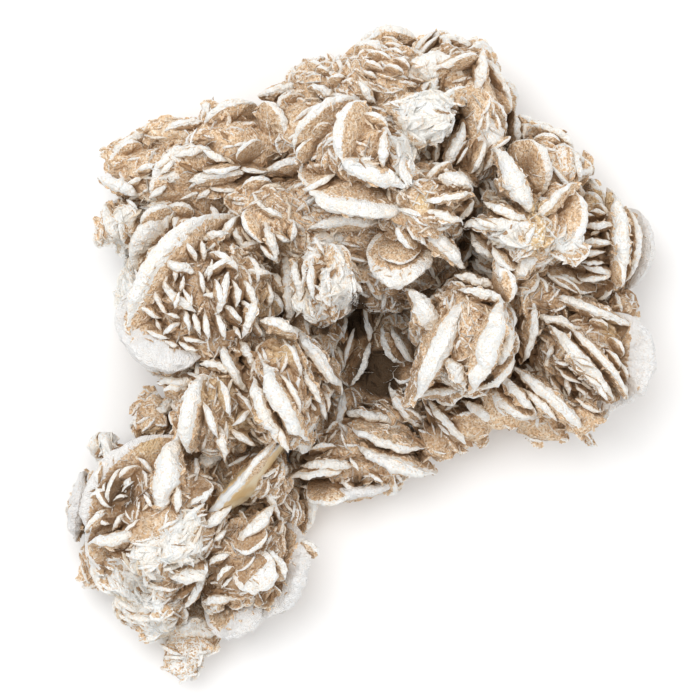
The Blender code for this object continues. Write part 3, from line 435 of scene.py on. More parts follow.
FIN_SWAY = 0.15
TIP_CHALK = -1.2  # below 0 is bare sand

# Surface relief.
CORE_VOXEL = 1.2
CORE_INSET = (1.0, 1.0, 2.6)  # of the tangle between the blades, inside the surface of the solid
LEAST_HALF_WIDTH = 2.0  # of a rosette of the tangle
SMOOTHING = 3
CRISP_ANGLE = math.radians(28)
CORE_RELIEF = ((6.0, 0.8), (2.8, 0.7), (1.6, 0.5))  # size and height of its bumps
BLADE_RELIEF = ((2.4, 0.24), (1.1, 0.26), (0.6, 0.18))  # the same on blades
RELIEF_CAP = 0.7  # most of it, over the rim's thickness
CORE_CHALK = (0.05, 0.3, 0.2, 3.0)  # least, more where noise is high, its shift and size
CORE_TONE_SIZE = 5.0
LUMP_HEIGHT = 0.35  # half height of a knob, over the sum of its half widths
LUMP_ROUGHNESS = 0.6  # how much higher the bumps of a knob are
LUMP_EDGE = (1.35, 0.35)  # where a knob's chalk ends and over what width it fades, in radii
# Seeds of the noises.
CORE_SEED = 50
CHALK_SEED = 71
TONE_SEED = 72
PATCH_SEED = 81
BLADE_SEED = 100
SEED_STEP = 20  # from one piece of blades to the next
RELIEF_SEED = 11  # added for the relief

# How much of the sky a place sees.
SKY_REACH = 20.0
SKY_LIFT = 0.6
SKY_TURNS = 5
SKY_RAY = (0.75, 0.66)  # across and along the normal, for a slanting ray
SKY_POWER = 0.7

# Camera and light.
REFERENCE_LEVEL = 28.0  # level at which the picture's width is PICTURE_WIDTH
PICTURE_WIDTH = 175.0
LENS = 300.0
SENSOR = 36.0
FLOOR_HALF = 8.0  # metres, as the numbers of the lights
AIM = (0, 0, 0.03)
KEY = ((-0.3, 0.36, 1.25), 1.0, 10.9)  # place, diameter, watts
FILL = ((0.8, -0.4, 1.1), 1.4, 4.0)
SKY_STRENGTH = 0.76
CLIP_END = 20


# ---------------------------------------------------------------- noise

def lattice_value(cells, seed):
    """Repeatable values from -1 to 1 at whole-number points of space."""
    mixed = cells[:, 0] * 73856093 ^ cells[:, 1] * 19349663 ^ cells[:, 2] * 83492791
    mixed = (mixed ^ (seed * 2654435761)) & 0xFFFFFFFF
    mixed = ((mixed ^ (mixed >> 15)) * 2246822519) & 0xFFFFFFFF
    mixed = ((mixed ^ (mixed >> 13)) * 3266489917) & 0xFFFFFFFF
    mixed = mixed ^ (mixed >> 16)
    return mixed / 0x7FFFFFFF - 1.0


def noise(points, size, seed=0):
    """Smooth value noise from -1 to 1 with bumps of about the given size."""
    scaled = np.asarray(points, float) / size
    cell = np.floor(scaled).astype(np.int64)
    part = scaled - cell
    part = part * part * (3 - 2 * part)
    total = np.zeros(len(scaled))
    for corner in range(8):
        step = np.array([corner & 1, corner >> 1 & 1, corner >> 2 & 1])
        weight = np.prod(np.where(step == 1, part, 1 - part), axis=1)
        total += weight * lattice_value(cell + step, seed)
    return total


def relief(points, bumps, seed):
    """Sum of noises, each with its size and height."""
    total = np.zeros(len(points))
    for number, (size, height) in enumerate(bumps):
        total += height * noise(points, size, seed + number)
    return total


# ---------------------------------------------------------------- places of the blades

def lobe_shape(name):
    x, y, half_x, half_y, low, high = LOBES[name]
    return Vector((x, y, (low + high) / 2)), Vector((half_x, half_y, (high - low) / 2))


def core_level(x, y):
    """Level of the core's upper surface at a plan position, or of the nearest flank beside it."""
    tops = []
    sides = []
    for centre, half in map(lobe_shape, LOBES):
        reach = math.hypot((x - centre.x) / half.x, (y - centre.y) / half.y)
        sides.append((reach, centre.z))
        if reach < 1:
            tops.append(centre.z + half.z * math.sqrt(1 - reach * reach))
    return max(tops) if tops else min(sides)[1]


def outward(points):
    """Unit direction away from the rosette that each point belongs to."""
    least = np.full(len(points), np.inf)
    out = np.zeros((len(points), 3))
    for name in LOBES:
        centre, half = (np.array(value) for value in lobe_shape(name))
        offset = (points - centre) / half
        reach = (offset ** 2).sum(1)
        closer = reach < least
        least[closer] = reach[closer]
        out[closer] = (offset / half)[closer]
    return unit(out)


def unit(vectors):
    return vectors / np.linalg.norm(vectors, axis=1)[:, None]


def rim_blade(row, level_at, tilted=0.0):
    """The blade whose rim is one row of a rim table, tilted in part away from its rosette."""
    start = Vector((row[0], row[1], 0))
    end = Vector((row[2], row[3], 0))
    chord = (end - start).length
    along = (end - start).normalized()
    left = Vector((-along.y, along.x, 0))
    rise = max(min(BLADE_RISE * chord, TALLEST_RISE), LEAN_ROOM * abs(row[4]))
    radius = chord * chord / (8 * rise) + rise / 2
    lean = math.asin(row[4] / rise)
    foot = (start + end) / 2
    foot.z = row[6] if len(row) > 6 else level_at(foot.x, foot.y)
    if tilted:
        out = outward(np.array([foot]))[0]
        lean += tilted * math.atan2(left.dot(out), max(out[2], LEAST_UPWARD))
        lean = max(-STEEPEST_LEAN, min(STEEPEST_LEAN, lean))
    up = left * math.sin(lean) + Vector((0, 0, math.cos(lean)))
    half_angle = math.acos(max(-1.0, min(1.0, 1 - rise / radius)))
    return {"centre": foot + up * (rise - radius), "along": along, "up": up, "radius": radius,
            "rim": row[5], "half_angle": half_angle}


def slender(row):
    """A row of a rim table, made longer about its middle and narrower."""
    start = np.array(row[:2])
    end = np.array(row[2:4])
    middle = (start + end) / 2
    longer, narrower = SMALL_SLENDER
    start, end = (middle + (corner - middle) * longer for corner in (start, end))
    return (*start, *end, row[4], row[5] * narrower)


def inside_another_lobe(point, own):
    for name in LOBES:
        centre, half = lobe_shape(name)
        offset = point - centre
        reach = Vector((offset.x / half.x, offset.y / half.y, offset.z / half.z)).length
        if name != own and reach < CLEAR_OF_LOBES:
            return True
    return False


def flank_blades(name, dice):
    """The blades around the sides of one rosette, as the CAD draws them."""
    centre, half = lobe_shape(name)
    places = []
    for ring in FLANK_RINGS:
        level = math.radians(ring)
        around = 2 * math.pi * (half.x + half.y) / 2 * math.cos(level)
        count = max(FEWEST_IN_RING, round(around / FLANK_SPACING))
        for step in range(count):
            turn = 2 * math.pi * (step + dice.uniform(0, FLANK_SHIFT)) / count
            out = Vector((math.cos(turn) * math.cos(level), math.sin(turn) * math.cos(level),
                          math.sin(level)))
            foot = centre + Vector((out.x * half.x, out.y * half.y, out.z * half.z))
            normal = Vector((out.x / half.x, out.y / half.y, out.z / half.z)).normalized()
            radius = dice.uniform(*FLANK_RADIUS)
            shows = dice.uniform(*FLANK_SHOWS)
            rim = dice.uniform(*FLANK_WIDTH)
            roll = dice.choice((-1, 1)) * dice.uniform(*FLANK_ROLL)
            tilt = dice.uniform(-FLANK_TILT, FLANK_TILT)
            if inside_another_lobe(foot, name) or foot.z < LOWEST_FLANK:
                continue
            level_line = Vector((-normal.y, normal.x, 0)).normalized()
            along = Matrix.Rotation(roll, 3, normal) @ level_line
            up = Matrix.Rotation(tilt, 3, along) @ normal
            places.append({"centre": foot - up * radius * (1 - shows), "along": along, "up": up,
                           "radius": radius, "rim": rim, "half_angle": math.acos(1 - shows)})
    return places


def stack(places):
    """One dictionary of arrays from a list of single blades."""
    return {key: np.array([place[key] for place in places], float) for key in places[0]}


# ---------------------------------------------------------------- where crystals grow

def mesh_arrays(mesh):
    points = np.zeros(len(mesh.vertices) * 3)
    normals = np.zeros(len(mesh.vertices) * 3)
    mesh.vertices.foreach_get("co", points)
    mesh.vertices.foreach_get("normal", normals)
    return points.reshape(-1, 3), normals.reshape(-1, 3)


def surface_of(thing):
    """Points in millimetres and triangles of an object that stands at the origin."""
    mesh = thing.data
    mesh.calc_loop_triangles()
    corners = np.zeros(len(mesh.loop_triangles) * 3, np.int32)
    mesh.loop_triangles.foreach_get("vertices", corners)
    return mesh_arrays(mesh)[0] / MM, corners.reshape(-1, 3)


class Ground:
    """Surfaces, in millimetres, that new crystals stand on and that shade each other."""

    def __init__(self, parts):
        starts = np.cumsum([0] + [len(points) for points, _ in parts])
        self.points = np.concatenate([points for points, _ in parts])
        self.triangles = np.concatenate([part[1] + start for part, start in zip(parts, starts)])
        self.tree = BVHTree.FromPolygons(self.points.tolist(), self.triangles.tolist())

    def samples(self, count, dice):
        """Random points on the surface, with normals."""
        corners = self.points[self.triangles]
        cross = np.cross(corners[:, 1] - corners[:, 0], corners[:, 2] - corners[:, 0])
        area = np.linalg.norm(cross, axis=1) + 1e-12
        chosen = dice.choice(len(area), count, p=area / area.sum())
        first = np.sqrt(dice.random(count))
        second = dice.random(count)
        weight = np.stack([1 - first, first * (1 - second), first * second], axis=1)
        points = (corners[chosen] * weight[:, :, None]).sum(1)
        return points, cross[chosen] / area[chosen][:, None]

    def openness(self, points, normals):
        """Share of the half space over each point that other surfaces leave open."""
        tilts = [(0, 0, 1)]
        for turn in range(SKY_TURNS):
            angle = turn * 2 * math.pi / SKY_TURNS
            tilts.append((math.cos(angle) * SKY_RAY[0], math.sin(angle) * SKY_RAY[0], SKY_RAY[1]))
        helper = np.where(np.abs(normals[:, 2:3]) < 0.9, [[0, 0, 1.0]], [[1.0, 0, 0]])
        side = unit(np.cross(normals, helper))
        other = np.cross(normals, side)
        free = np.zeros(len(points))
        starts = (points + normals * SKY_LIFT).tolist()
        cast = self.tree.ray_cast
        for tilt in tilts:
            rays = (side * tilt[0] + other * tilt[1] + normals * tilt[2]).tolist()
            for index, ray in enumerate(rays):
                hit = cast(starts[index], ray, SKY_REACH)[3]
                free[index] += 1.0 if hit is None else (hit / SKY_REACH) ** SKY_POWER
        return free / len(tilts)


def tree_of(points):
    tree = KDTree(len(points))
    for index, point in enumerate(points.tolist()):
        tree.insert(point, index)
    tree.balance()
    return tree


def crests_of(sets):
    """Search tree of points along the visible crests of sets of blades, and half widths there."""
    points = []
    half_widths = []
    for blades in sets:
        for step in np.linspace(-1, 1, CREST_POINTS):
            angle = (blades["half_angle"] * step)[:, None]
            ring = blades["along"] * np.sin(angle) + blades["up"] * np.cos(angle)
            points.append(blades["centre"] + ring * blades["radius"][:, None])
            half_widths.append(blades["rim"] / 2)
    return tree_of(np.concatenate(points)), np.concatenate(half_widths)


def spaced(points, spacing):
    """Indices of points, in their order, that keep the spacing from each other."""
    tree = tree_of(points)
    taken = np.zeros(len(points), bool)
    chosen = []
    for index, point in enumerate(points.tolist()):
        if not taken[index]:
            chosen.append(index)
            taken[[found[1] for found in tree.find_range(point, spacing)]] = True
    return np.array(chosen, int)


def zone_share(points, zones):
    """How far each point lies inside the zones, from 0 outside to a zone's amount in its middle."""
    share = np.zeros(len(points))
    for x, y, radius, amount in zones:
        far = np.hypot(points[:, 0] - x, points[:, 1] - y) / radius
        share = np.maximum(share, amount * np.clip(ZONE_EDGE - ZONE_EDGE * far, 0, 1))
    return share


def heading_at(points, guides, jitter, dice):
    """Direction, seen from above, in which crystals run: that of the placed blades close by."""
    angle = np.arctan2(guides["along"][:, 1], guides["along"][:, 0])
    pull = guides["radius"] * np.stack([np.cos(2 * angle), np.sin(2 * angle)])
    total = np.zeros((2, len(points)))
    for centre, east, north in zip(guides["centre"], *pull):
        far = ((points - centre)[:, :2] ** 2).sum(1)
        weight = 1 / (HEADING_SOFTNESS + far) ** 1.5
        total += weight * np.array([[east], [north]])
    heading = np.arctan2(total[1], total[0]) / 2 + dice.normal(0, jitter, len(points))
    return np.stack([np.cos(heading), np.sin(heading), np.zeros(len(points))], axis=1)


def growing_places(base, ground, solid, kind, crests, dice):
    """Points with normals and openness on the base, clear of the rims of larger crystals."""
    rims, half_widths = crests
    count = kind["tries"]
    points, normals = base.samples(count, dice)
    keep = (normals[:, 2] > UNDERSIDE) | (dice.random(count) < UNDERSIDE_DENSITY)
    keep &= points[:, 2] > LOWEST
    if kind["patchy"]:
        share, swing, size = PATCHINESS
        dense = share + swing * noise(points, size, PATCH_SEED) + zone_share(points, SHADED_HOLLOWS)
        keep &= dice.random(count) < dense
    points, normals = points[keep], normals[keep]
    keep = np.ones(len(points), bool)
    nearest = solid.tree.find_nearest
    for index, point in enumerate(points.tolist()):
        place, facing, _, _ = nearest(point)
        depth = (place - Vector(point)).dot(facing)
        _, rim, far = rims.find(point)
        keep[index] = depth < DEEPEST and far > half_widths[rim] + kind["clear"]
    if not kind["patchy"]:
        keep &= dice.random(len(points)) > zone_share(points, SHADED_HOLLOWS)
    points, normals = points[keep], normals[keep]
    for x, y, radius in SANDY:
        sparse = (points[:, 0] - x) ** 2 + (points[:, 1] - y) ** 2 < radius ** 2
        keep = ~sparse | (dice.random(len(points)) < SANDY_DENSITY)
        points, normals = points[keep], normals[keep]
    chosen = spaced(points, kind["spacing"])
    points, normals = points[chosen], normals[chosen]
    open_share = ground.openness(points, normals)
    keep = open_share > LEAST_OPEN
    return points[keep], normals[keep], open_share[keep]


def grow(base, ground, solid, kind, crests, guides, dice):
    """Crystals of one kind all over the base."""
    points, normals, open_share = growing_places(base, ground, solid, kind, crests, dice)
    amount = len(points)
    least, most = kind["radius"]
    radius = least + (most - least) * dice.random(amount) ** SIZE_SKEW
    shows = dice.uniform(*kind["shows"], amount)
    rim = radius ** RIM_POWER * dice.uniform(*kind["rim"], amount)
    lean = dice.normal(0, kind["lean"], amount)
    out = outward(points) + kind.get("pull", FACE_PULL) * normals
    out[:, 2] += UPRIGHT * np.sqrt(np.clip(out[:, 2], 0, 1))
    out = unit(out)
    plan = heading_at(points, guides, kind["jitter"], dice)
    plan[:, 2] += dice.normal(0, HEADING_RISE, amount)
    along = plan - out * (plan * out).sum(1)[:, None]
    along /= np.linalg.norm(along, axis=1)[:, None] + 1e-9
    across = np.cross(out, along)
    up = out * np.cos(lean)[:, None] + across * np.sin(lean)[:, None]
    centre = points + up * (radius * (shows - 1))[:, None]
    return {"centre": centre, "along": along, "up": up, "radius": radius, "rim": rim,
            "half_angle": np.arccos(1 - shows), "open": open_share}


# ---------------------------------------------------------------- blade meshes

def blade_sheet(blades, rings, spokes, seed, belly):
    """Points, faces and surface values of many blades that share one grid."""
    amount = len(blades["radius"])
    share = np.linspace(-1, 1, spokes, endpoint=False) + 1 / spokes
    arc = np.clip(blades["half_angle"] * ARC_MARGIN, LEAST_ARC, MOST_ARC)[:, None]
    near = share / ARC_SHARE * arc
    far = np.sign(share) * (arc + (np.abs(share) - ARC_SHARE) / (1 - ARC_SHARE) * (math.pi - arc))
    angle = np.where(np.abs(share) <= ARC_SHARE, near, far)
    centre, along, up = (blades[key][:, None, None] for key in ("centre", "along", "up"))
    normals = np.cross(blades["along"], blades["up"])
    normal = normals[:, None, None]
    radius = blades["radius"][:, None, None]
    dip = np.clip(np.abs(angle) / np.maximum(blades["half_angle"], LEAST_ARC)[:, None], 0, 1)
    fade = np.cos(dip * math.pi / 2) ** CREST_POWER
    ends = np.stack([np.cos(angle), np.sin(angle),
                     np.broadcast_to(np.arange(amount)[:, None] * APART, (amount, spokes))], axis=2)
    waves = [noise((ends * (often, often, 1)).reshape(-1, 3), 1.0, seed + number)
             .reshape(amount, spokes) for number, often in enumerate(WAVES_AROUND)]
    uneven = 1 + RIM_UNEVEN * waves[1] + RIM_UNEVEN / 2 * waves[2]
    rim = (blades["rim"][:, None] * (TAPER_LEFT + (1 - TAPER_LEFT) * fade) * uneven)[:, :, None]
    bow = BOW * blades["tone"][:, None] * blades["radius"][:, None] * (dip ** 2 - BOW_LEVEL)
    sway = (bow + SWAY * blades["rim"][:, None] * waves[0])[:, :, None]

    insets = [np.minimum(widths * rim, most * radius) for widths, most in rings]
    inset = np.concatenate([*reversed(insets), *[np.zeros(rim.shape)] * 2, *insets], axis=2)
    shape = inset.shape
    side = np.repeat([1.0, -1.0], len(rings) + 1)[None, None, :]
    reach = radius - inset
    bevel = np.minimum(1, CREST_FLAT + (1 - CREST_FLAT) * inset / (SHOULDER * rim))
    half = rim / 2 * bevel + belly * radius * (1 - (reach / radius) ** 2)
    outline = OUTLINE_WAVE * waves[0] * np.clip(dip * 2, LEAST_WAVE, 1) + NOTCH * waves[2]
    ring = along * np.sin(angle)[:, :, None, None] + up * np.cos(angle)[:, :, None, None]
    sideways = half * side + sway * np.clip(SWAY_FADE[0] * (reach / radius) - SWAY_FADE[1], 0, 1)
    points = (centre + ring * (reach * (1 + outline[:, :, None]))[..., None]
              + normal * sideways[..., None])
    crest = inset < CREST_BAND * rim
    away = np.broadcast_to(ring * crest[..., None] + normal * side[..., None], points.shape)
    points = points.reshape(-1, 3)
    cap = np.broadcast_to(np.minimum(1, rim * RELIEF_CAP), shape).reshape(-1)
    push = relief(points, BLADE_RELIEF, seed + RELIEF_SEED) * cap
    points = points + away.reshape(-1, 3) * push[:, None]
    apex_half = (blades["rim"] / 2 * TAPER_LEFT + belly * blades["radius"])[:, None]
    apexes = [blades["centre"] + normals * apex_half, blades["centre"] - normals * apex_half]

    columns = shape[2]
    base = np.arange(amount)[:, None] * spokes * columns
    row = base + np.arange(spokes) * columns
    after = base + (np.arange(spokes) + 1) % spokes * columns
    first, second = (line[..., None] + np.arange(columns - 1) for line in (row, after))
    quads = np.stack([first, second, second + 1, first + 1], axis=-1).reshape(-1, 4)
    tip = np.broadcast_to(amount * spokes * columns + np.arange(amount)[:, None], row.shape)
    last = columns - 1
    caps = [np.stack([after, row, tip], axis=-1).reshape(-1, 3),
            np.stack([row + last, after + last, tip + amount], axis=-1).reshape(-1, 3)]

    edge = blades["white"][:, None, None] * (END_CHALK + (1 - END_CHALK) * fade[:, :, None])
    white = np.clip(0.5 + (edge - inset) / (CHALK_FADE * rim), -1, 1)
    flute = blades["flute"][:, None, None] * radius * angle[:, :, None]
    values = {}
    white = white * blades["chalk"][:, None, None]
    for key, grid, tips in (("chalk", white, np.full(amount, -1.0)),
                            ("open", blades["open"][:, None, None], blades["open"]),
                            ("tone", blades["tone"][:, None, None], blades["tone"]),
                            ("flute", flute, np.zeros(amount))):
        values[key] = np.concatenate([np.broadcast_to(grid, shape).reshape(-1), tips, tips])
    return np.concatenate([points, *apexes]), quads, np.concatenate(caps), values


def fin_sheet(blades, steps, lines, dice):
    """Points, faces and surface values of many small crystals: an arched crest on a wedge."""
    amount = len(blades["radius"])
    share = np.linspace(-1, 1, steps)[None, :]
    angle = share * blades["half_angle"][:, None] * FIN_MARGIN
    centre, along, up = (blades[key][:, None] for key in ("centre", "along", "up"))
    normal = np.cross(blades["along"], blades["up"])[:, None]
    radius = blades["radius"][:, None]
    taper = TAPER_LEFT + (1 - TAPER_LEFT) * np.cos(share * math.pi / 2) ** FIN_POWER
    width = blades["rim"][:, None] / 2 * taper
    reach = radius * (1 + dice.normal(0, FIN_NOTCH, (amount, steps)))
    shift = dice.normal(0, FIN_SWAY, (amount, steps)) * blades["rim"][:, None]
    ring = along * np.sin(angle)[..., None] + up * np.cos(angle)[..., None]
    crest = centre + ring * reach[..., None] + normal * shift[..., None]
    lefts = []
    rights = []
    for in_rims, in_radii, _ in lines:
        drop = in_rims * width * 2 + in_radii * radius
        half = width + SMALL_BELLY * radius * (1 - (1 - drop / radius) ** 2)
        low = crest - ring * drop[..., None]
        lefts.insert(0, low + normal * half[..., None])
        rights.append(low - normal * half[..., None])
    belly = (blades["rim"] / 2 + SMALL_BELLY * blades["radius"])[:, None, None]
    tips = np.concatenate([centre + normal * belly, centre - normal * belly], axis=1)
    points = np.concatenate(lefts + [crest] + rights + [tips], axis=1)

    each = points.shape[1]
    middle = len(lines)
    last = 2 * middle
    base = np.arange(amount)[:, None] * each
    start = base + np.arange(steps - 1)
    quads = [np.zeros((0, 4), int)]
    for column in range(last):
        low = start + column * steps
        quads.append(np.stack([low, low + 1, low + steps + 1, low + steps], axis=-1).reshape(-1, 4))
    tip = np.broadcast_to(base + (last + 1) * steps, start.shape)
    end = start + last * steps
    caps = [np.stack([start + 1, start, tip], axis=-1).reshape(-1, 3),
            np.stack([end, end + 1, tip + 1], axis=-1).reshape(-1, 3)]
    tip = tip[:, 0]
    for at, turn in ((0, 1), (steps - 1, -1)):
        line = [base[:, 0] + at + steps * column for column in range(last + 1)]
        faces = [(line[middle], tip + 1, tip)]
        for column in range(last):
            faces.append((line[column], line[column + 1], tip if column < middle else tip + 1))
        caps += [np.stack(face[::turn], axis=-1) for face in faces]
    marks = [mark for _, _, mark in lines]
    marks = np.repeat([*marks[::-1], 1.0, *marks], steps)
    marks = np.concatenate([marks, [TIP_CHALK] * 2])[None, :]
    chalk = np.where(marks > 0, marks * blades["chalk"][:, None], marks)
    values = {"chalk": chalk.reshape(-1), "open": np.repeat(blades["open"], each),
              "tone": np.repeat(blades["tone"], each), "flute": np.zeros(amount * each)}
    return points.reshape(-1, 3), np.concatenate(quads), np.concatenate(caps), values


def add_values(mesh, points, values):
    """Surface values at the points of a mesh, with those that follow from the place in plan."""
    powder = zone_share(points, POWDERY)
    values["chalk"] = values["chalk"] * (1 - powder) + powder
    values["hollow_shade"] = zone_share(points, SHADED_HOLLOWS)
    values["amber"] = zone_share(points, AMBER)
    for key, value in values.items():
        layer = mesh.attributes.new(key, "FLOAT", "POINT")
        layer.data.foreach_set("value", value.astype(np.float32))


def make_mesh(name, points, quads, caps, values, flat=False):
    """One object from points in millimetres, four-sided and three-sided faces and point values."""
    points[:, 2] = np.maximum(points[:, 2], 0.0)
    mesh = bpy.data.meshes.new(name)
    mesh.vertices.add(len(points))
    mesh.vertices.foreach_set("co", (points * MM).astype(np.float32).reshape(-1))
    corners = np.concatenate([quads.reshape(-1), caps.reshape(-1)]).astype(np.int32)
    mesh.loops.add(len(corners))
    mesh.loops.foreach_set("vertex_index", corners)
    starts = np.concatenate([np.arange(len(quads)) * 4, len(quads) * 4 + np.arange(len(caps)) * 3])
    mesh.polygons.add(len(starts))
    mesh.polygons.foreach_set("loop_start", starts.astype(np.int32))
    mesh.update(calc_edges=True)
    add_values(mesh, points, values)
    if flat:
        mesh.shade_flat()
    else:
        mesh.shade_smooth()
        mesh.set_sharp_from_angle(angle=CRISP_ANGLE)
    return show(name, mesh)


def show(name, data):
    thing = bpy.data.objects.new(name, data)
    bpy.context.scene.collection.objects.link(thing)
    return thing


def finish_blades(blades, dice, white=1.0):
    """Adds the surface values that a set of blades lacks."""
    amount = len(blades["radius"])
    for key, value in (("white", blades["rim"] * white), ("chalk", np.ones(amount)),
                       ("tone", dice.uniform(-1, 1, amount)), ("flute", np.zeros(amount)),
                       ("open", np.ones(amount))):
        blades.setdefault(key, value)
    return blades


# ---------------------------------------------------------------- core

def core_piece(level_at):
    """The tangle between the crystals: rosettes and knobs in one skin, with a crumbly relief."""
    shape = bmesh.new()
    knobs = []
    for x, y, half_x, half_y, height, _ in LUMPS:
        half_z = (half_x + half_y) * LUMP_HEIGHT
        knobs.append((Vector((x, y, level_at(x, y) + height - half_z)),
                      Vector((half_x, half_y, half_z))))
    cores = [(centre, Vector([max(LEAST_HALF_WIDTH, whole - inset)
                              for whole, inset in zip(half, CORE_INSET)]))
             for centre, half in map(lobe_shape, LOBES)]
    for centre, half in cores + knobs:
        bmesh.ops.create_icosphere(shape, subdivisions=4, radius=1.0,
                                   matrix=Matrix.Translation(centre) @ Matrix.Diagonal([*half, 1]))
    mesh = bpy.data.meshes.new("core")
    shape.to_mesh(mesh)
    shape.free()
    thing = show("core", mesh)
    skin = thing.modifiers.new("skin", "REMESH")
    skin.mode = "VOXEL"
    skin.voxel_size = CORE_VOXEL
    thing.modifiers.new("smooth", "SMOOTH").iterations = SMOOTHING
    graph = bpy.context.evaluated_depsgraph_get()
    baked = bpy.data.meshes.new_from_object(thing.evaluated_get(graph))
    thing.modifiers.clear()
    thing.data = baked
    points, normals = mesh_arrays(baked)
    least, more, shift, size = CORE_CHALK
    chalk = least + more * np.clip(shift + noise(points, size, CHALK_SEED), 0, 1)
    rough = np.ones(len(points))
    end, fade = LUMP_EDGE
    for (centre, half), row in zip(knobs, LUMPS):
        reach = np.sqrt((((points - np.array(centre)) / np.array(half)) ** 2).sum(1))
        on_knob = np.clip((end - reach) / fade, 0, 1)
        chalk = chalk * (1 - on_knob) + row[5] * on_knob
        rough = np.maximum(rough, 1 + LUMP_ROUGHNESS * on_knob)
    points = points + normals * (relief(points, CORE_RELIEF, CORE_SEED) * rough)[:, None]
    points[:, 2] = np.maximum(points[:, 2], 0.0)
    baked.vertices.foreach_set("co", (points * MM).reshape(-1))
    baked.update()
    add_values(baked, points, {"chalk": chalk, "open": np.ones(len(points)),
                               "tone": noise(points, CORE_TONE_SIZE, TONE_SEED),
                               "flute": np.zeros(len(points))})
    baked.shade_smooth()
    return thing


# ---------------------------------------------------------------- materials

class Nodes:
    """Short names for building the node tree of a new material."""

    def __init__(self, name):
        self.material = bpy.data.materials.new(name)
        self.material.use_nodes = True
        self.tree = self.material.node_tree
        self.shader = self.tree.nodes["Principled BSDF"]
        self.place = self.add("ShaderNodeTexCoord").outputs["Object"]

    def put(self, socket, term):
        """Sets a socket to a number or colour, or links it to a node's output."""
        if isinstance(term, tuple):
            socket.default_value = (*term, 1.0)
        elif isinstance(term, (int, float)):
            socket.default_value = term
        else:
            self.tree.links.new(term, socket)

    def add(self, kind, inputs=(), **settings):
        node = self.tree.nodes.new(kind)
        for key, value in settings.items():
            setattr(node, key, value)
        for socket, term in inputs:
            self.put(node.inputs[socket], term)
        return node

    def value(self, name):
        return self.add("ShaderNodeAttribute", attribute_name=name).outputs["Fac"]

    def noise(self, scale, detail=3.0, roughness=0.6):
        return self.add("ShaderNodeTexNoise", (("Scale", scale), ("Detail", detail),
                                               ("Roughness", roughness),
                                               ("Vector", self.place))).outputs["Fac"]

    def math(self, operation, *terms):
        return self.add("ShaderNodeMath", enumerate(terms), operation=operation).outputs[0]

    def remap(self, source, low, high, end=1.0, start=0.0):
        """Runs smoothly from start, where the source is at low, to end, where it is at high."""
        return self.add("ShaderNodeMapRange", (("From Min", low), ("From Max", high),
                                               ("To Min", start), ("To Max", end),
                                               ("Value", source)),
                        interpolation_type="SMOOTHSTEP").outputs["Result"]

    def mix(self, share, first, second):
        return self.add("ShaderNodeMix", (("Factor", share), ("A", first), ("B", second)),
                        data_type="RGBA").outputs["Result"]

    def coats(self, colour, layers):
        """A colour with others laid over it in turn, each by its share."""
        for share, over in layers:
            colour = self.mix(share, colour, over)
        return colour

    def ragged(self, colour, sources):
        """A value made uneven by noises around one half, each with its amount."""
        for source, amount in sources:
            colour = self.math("MULTIPLY_ADD", self.math("SUBTRACT", source, 0.5), amount, colour)
        return colour

    def finish(self, colour, height, strength, depth, numbers):
        """Gives the shader its colour, its bump, with a depth in millimetres, and its numbers."""
        bump = self.add("ShaderNodeBump", (("Strength", strength), ("Distance", depth * MM),
                                           ("Height", height)))
        for socket, term in (("Base Color", colour), ("Normal", bump.outputs["Normal"]), *numbers):
            self.put(self.shader.inputs[socket], term)
        return self.material


SAND_LIGHT = (0.96, 0.87, 0.73)
SAND_MID = (0.83, 0.60, 0.38)
SAND_DARK = (0.42, 0.24, 0.115)
SAND_BROWN = (0.29, 0.162, 0.078)
SAND_AMBER = (0.78, 0.60, 0.32)
# painted shade for recesses that see little sky
PAINTED_CREVICE_SHADE = (0.30, 0.165, 0.075)
# painted shade for the deepest hollows
DEEP_HOLLOW_SHADE = (0.032, 0.019, 0.009)
CHALK = (0.85, 0.86, 0.85)
CHALK_WARM = (0.85, 0.78, 0.67)
CHALK_COOL = (0.79, 0.78, 0.78)
# painted shade on chalk in recesses
CHALK_IN_PAINTED_SHADE = (0.78, 0.66, 0.50)
HONEY_DEEP = (0.84, 0.58, 0.28)
HONEY_CLEAR = (0.95, 0.80, 0.54)
FLOOR_PALE = (0.93, 0.93, 0.93)
# How often features repeat in a metre.
GRAINS = 2300.0
GRIT = 900.0
RIPPLES = 420.0
PATCHES = 260.0
CLOUDS = 160.0
REGIONS = 30.0
GROOVE_PITCH = 0.45


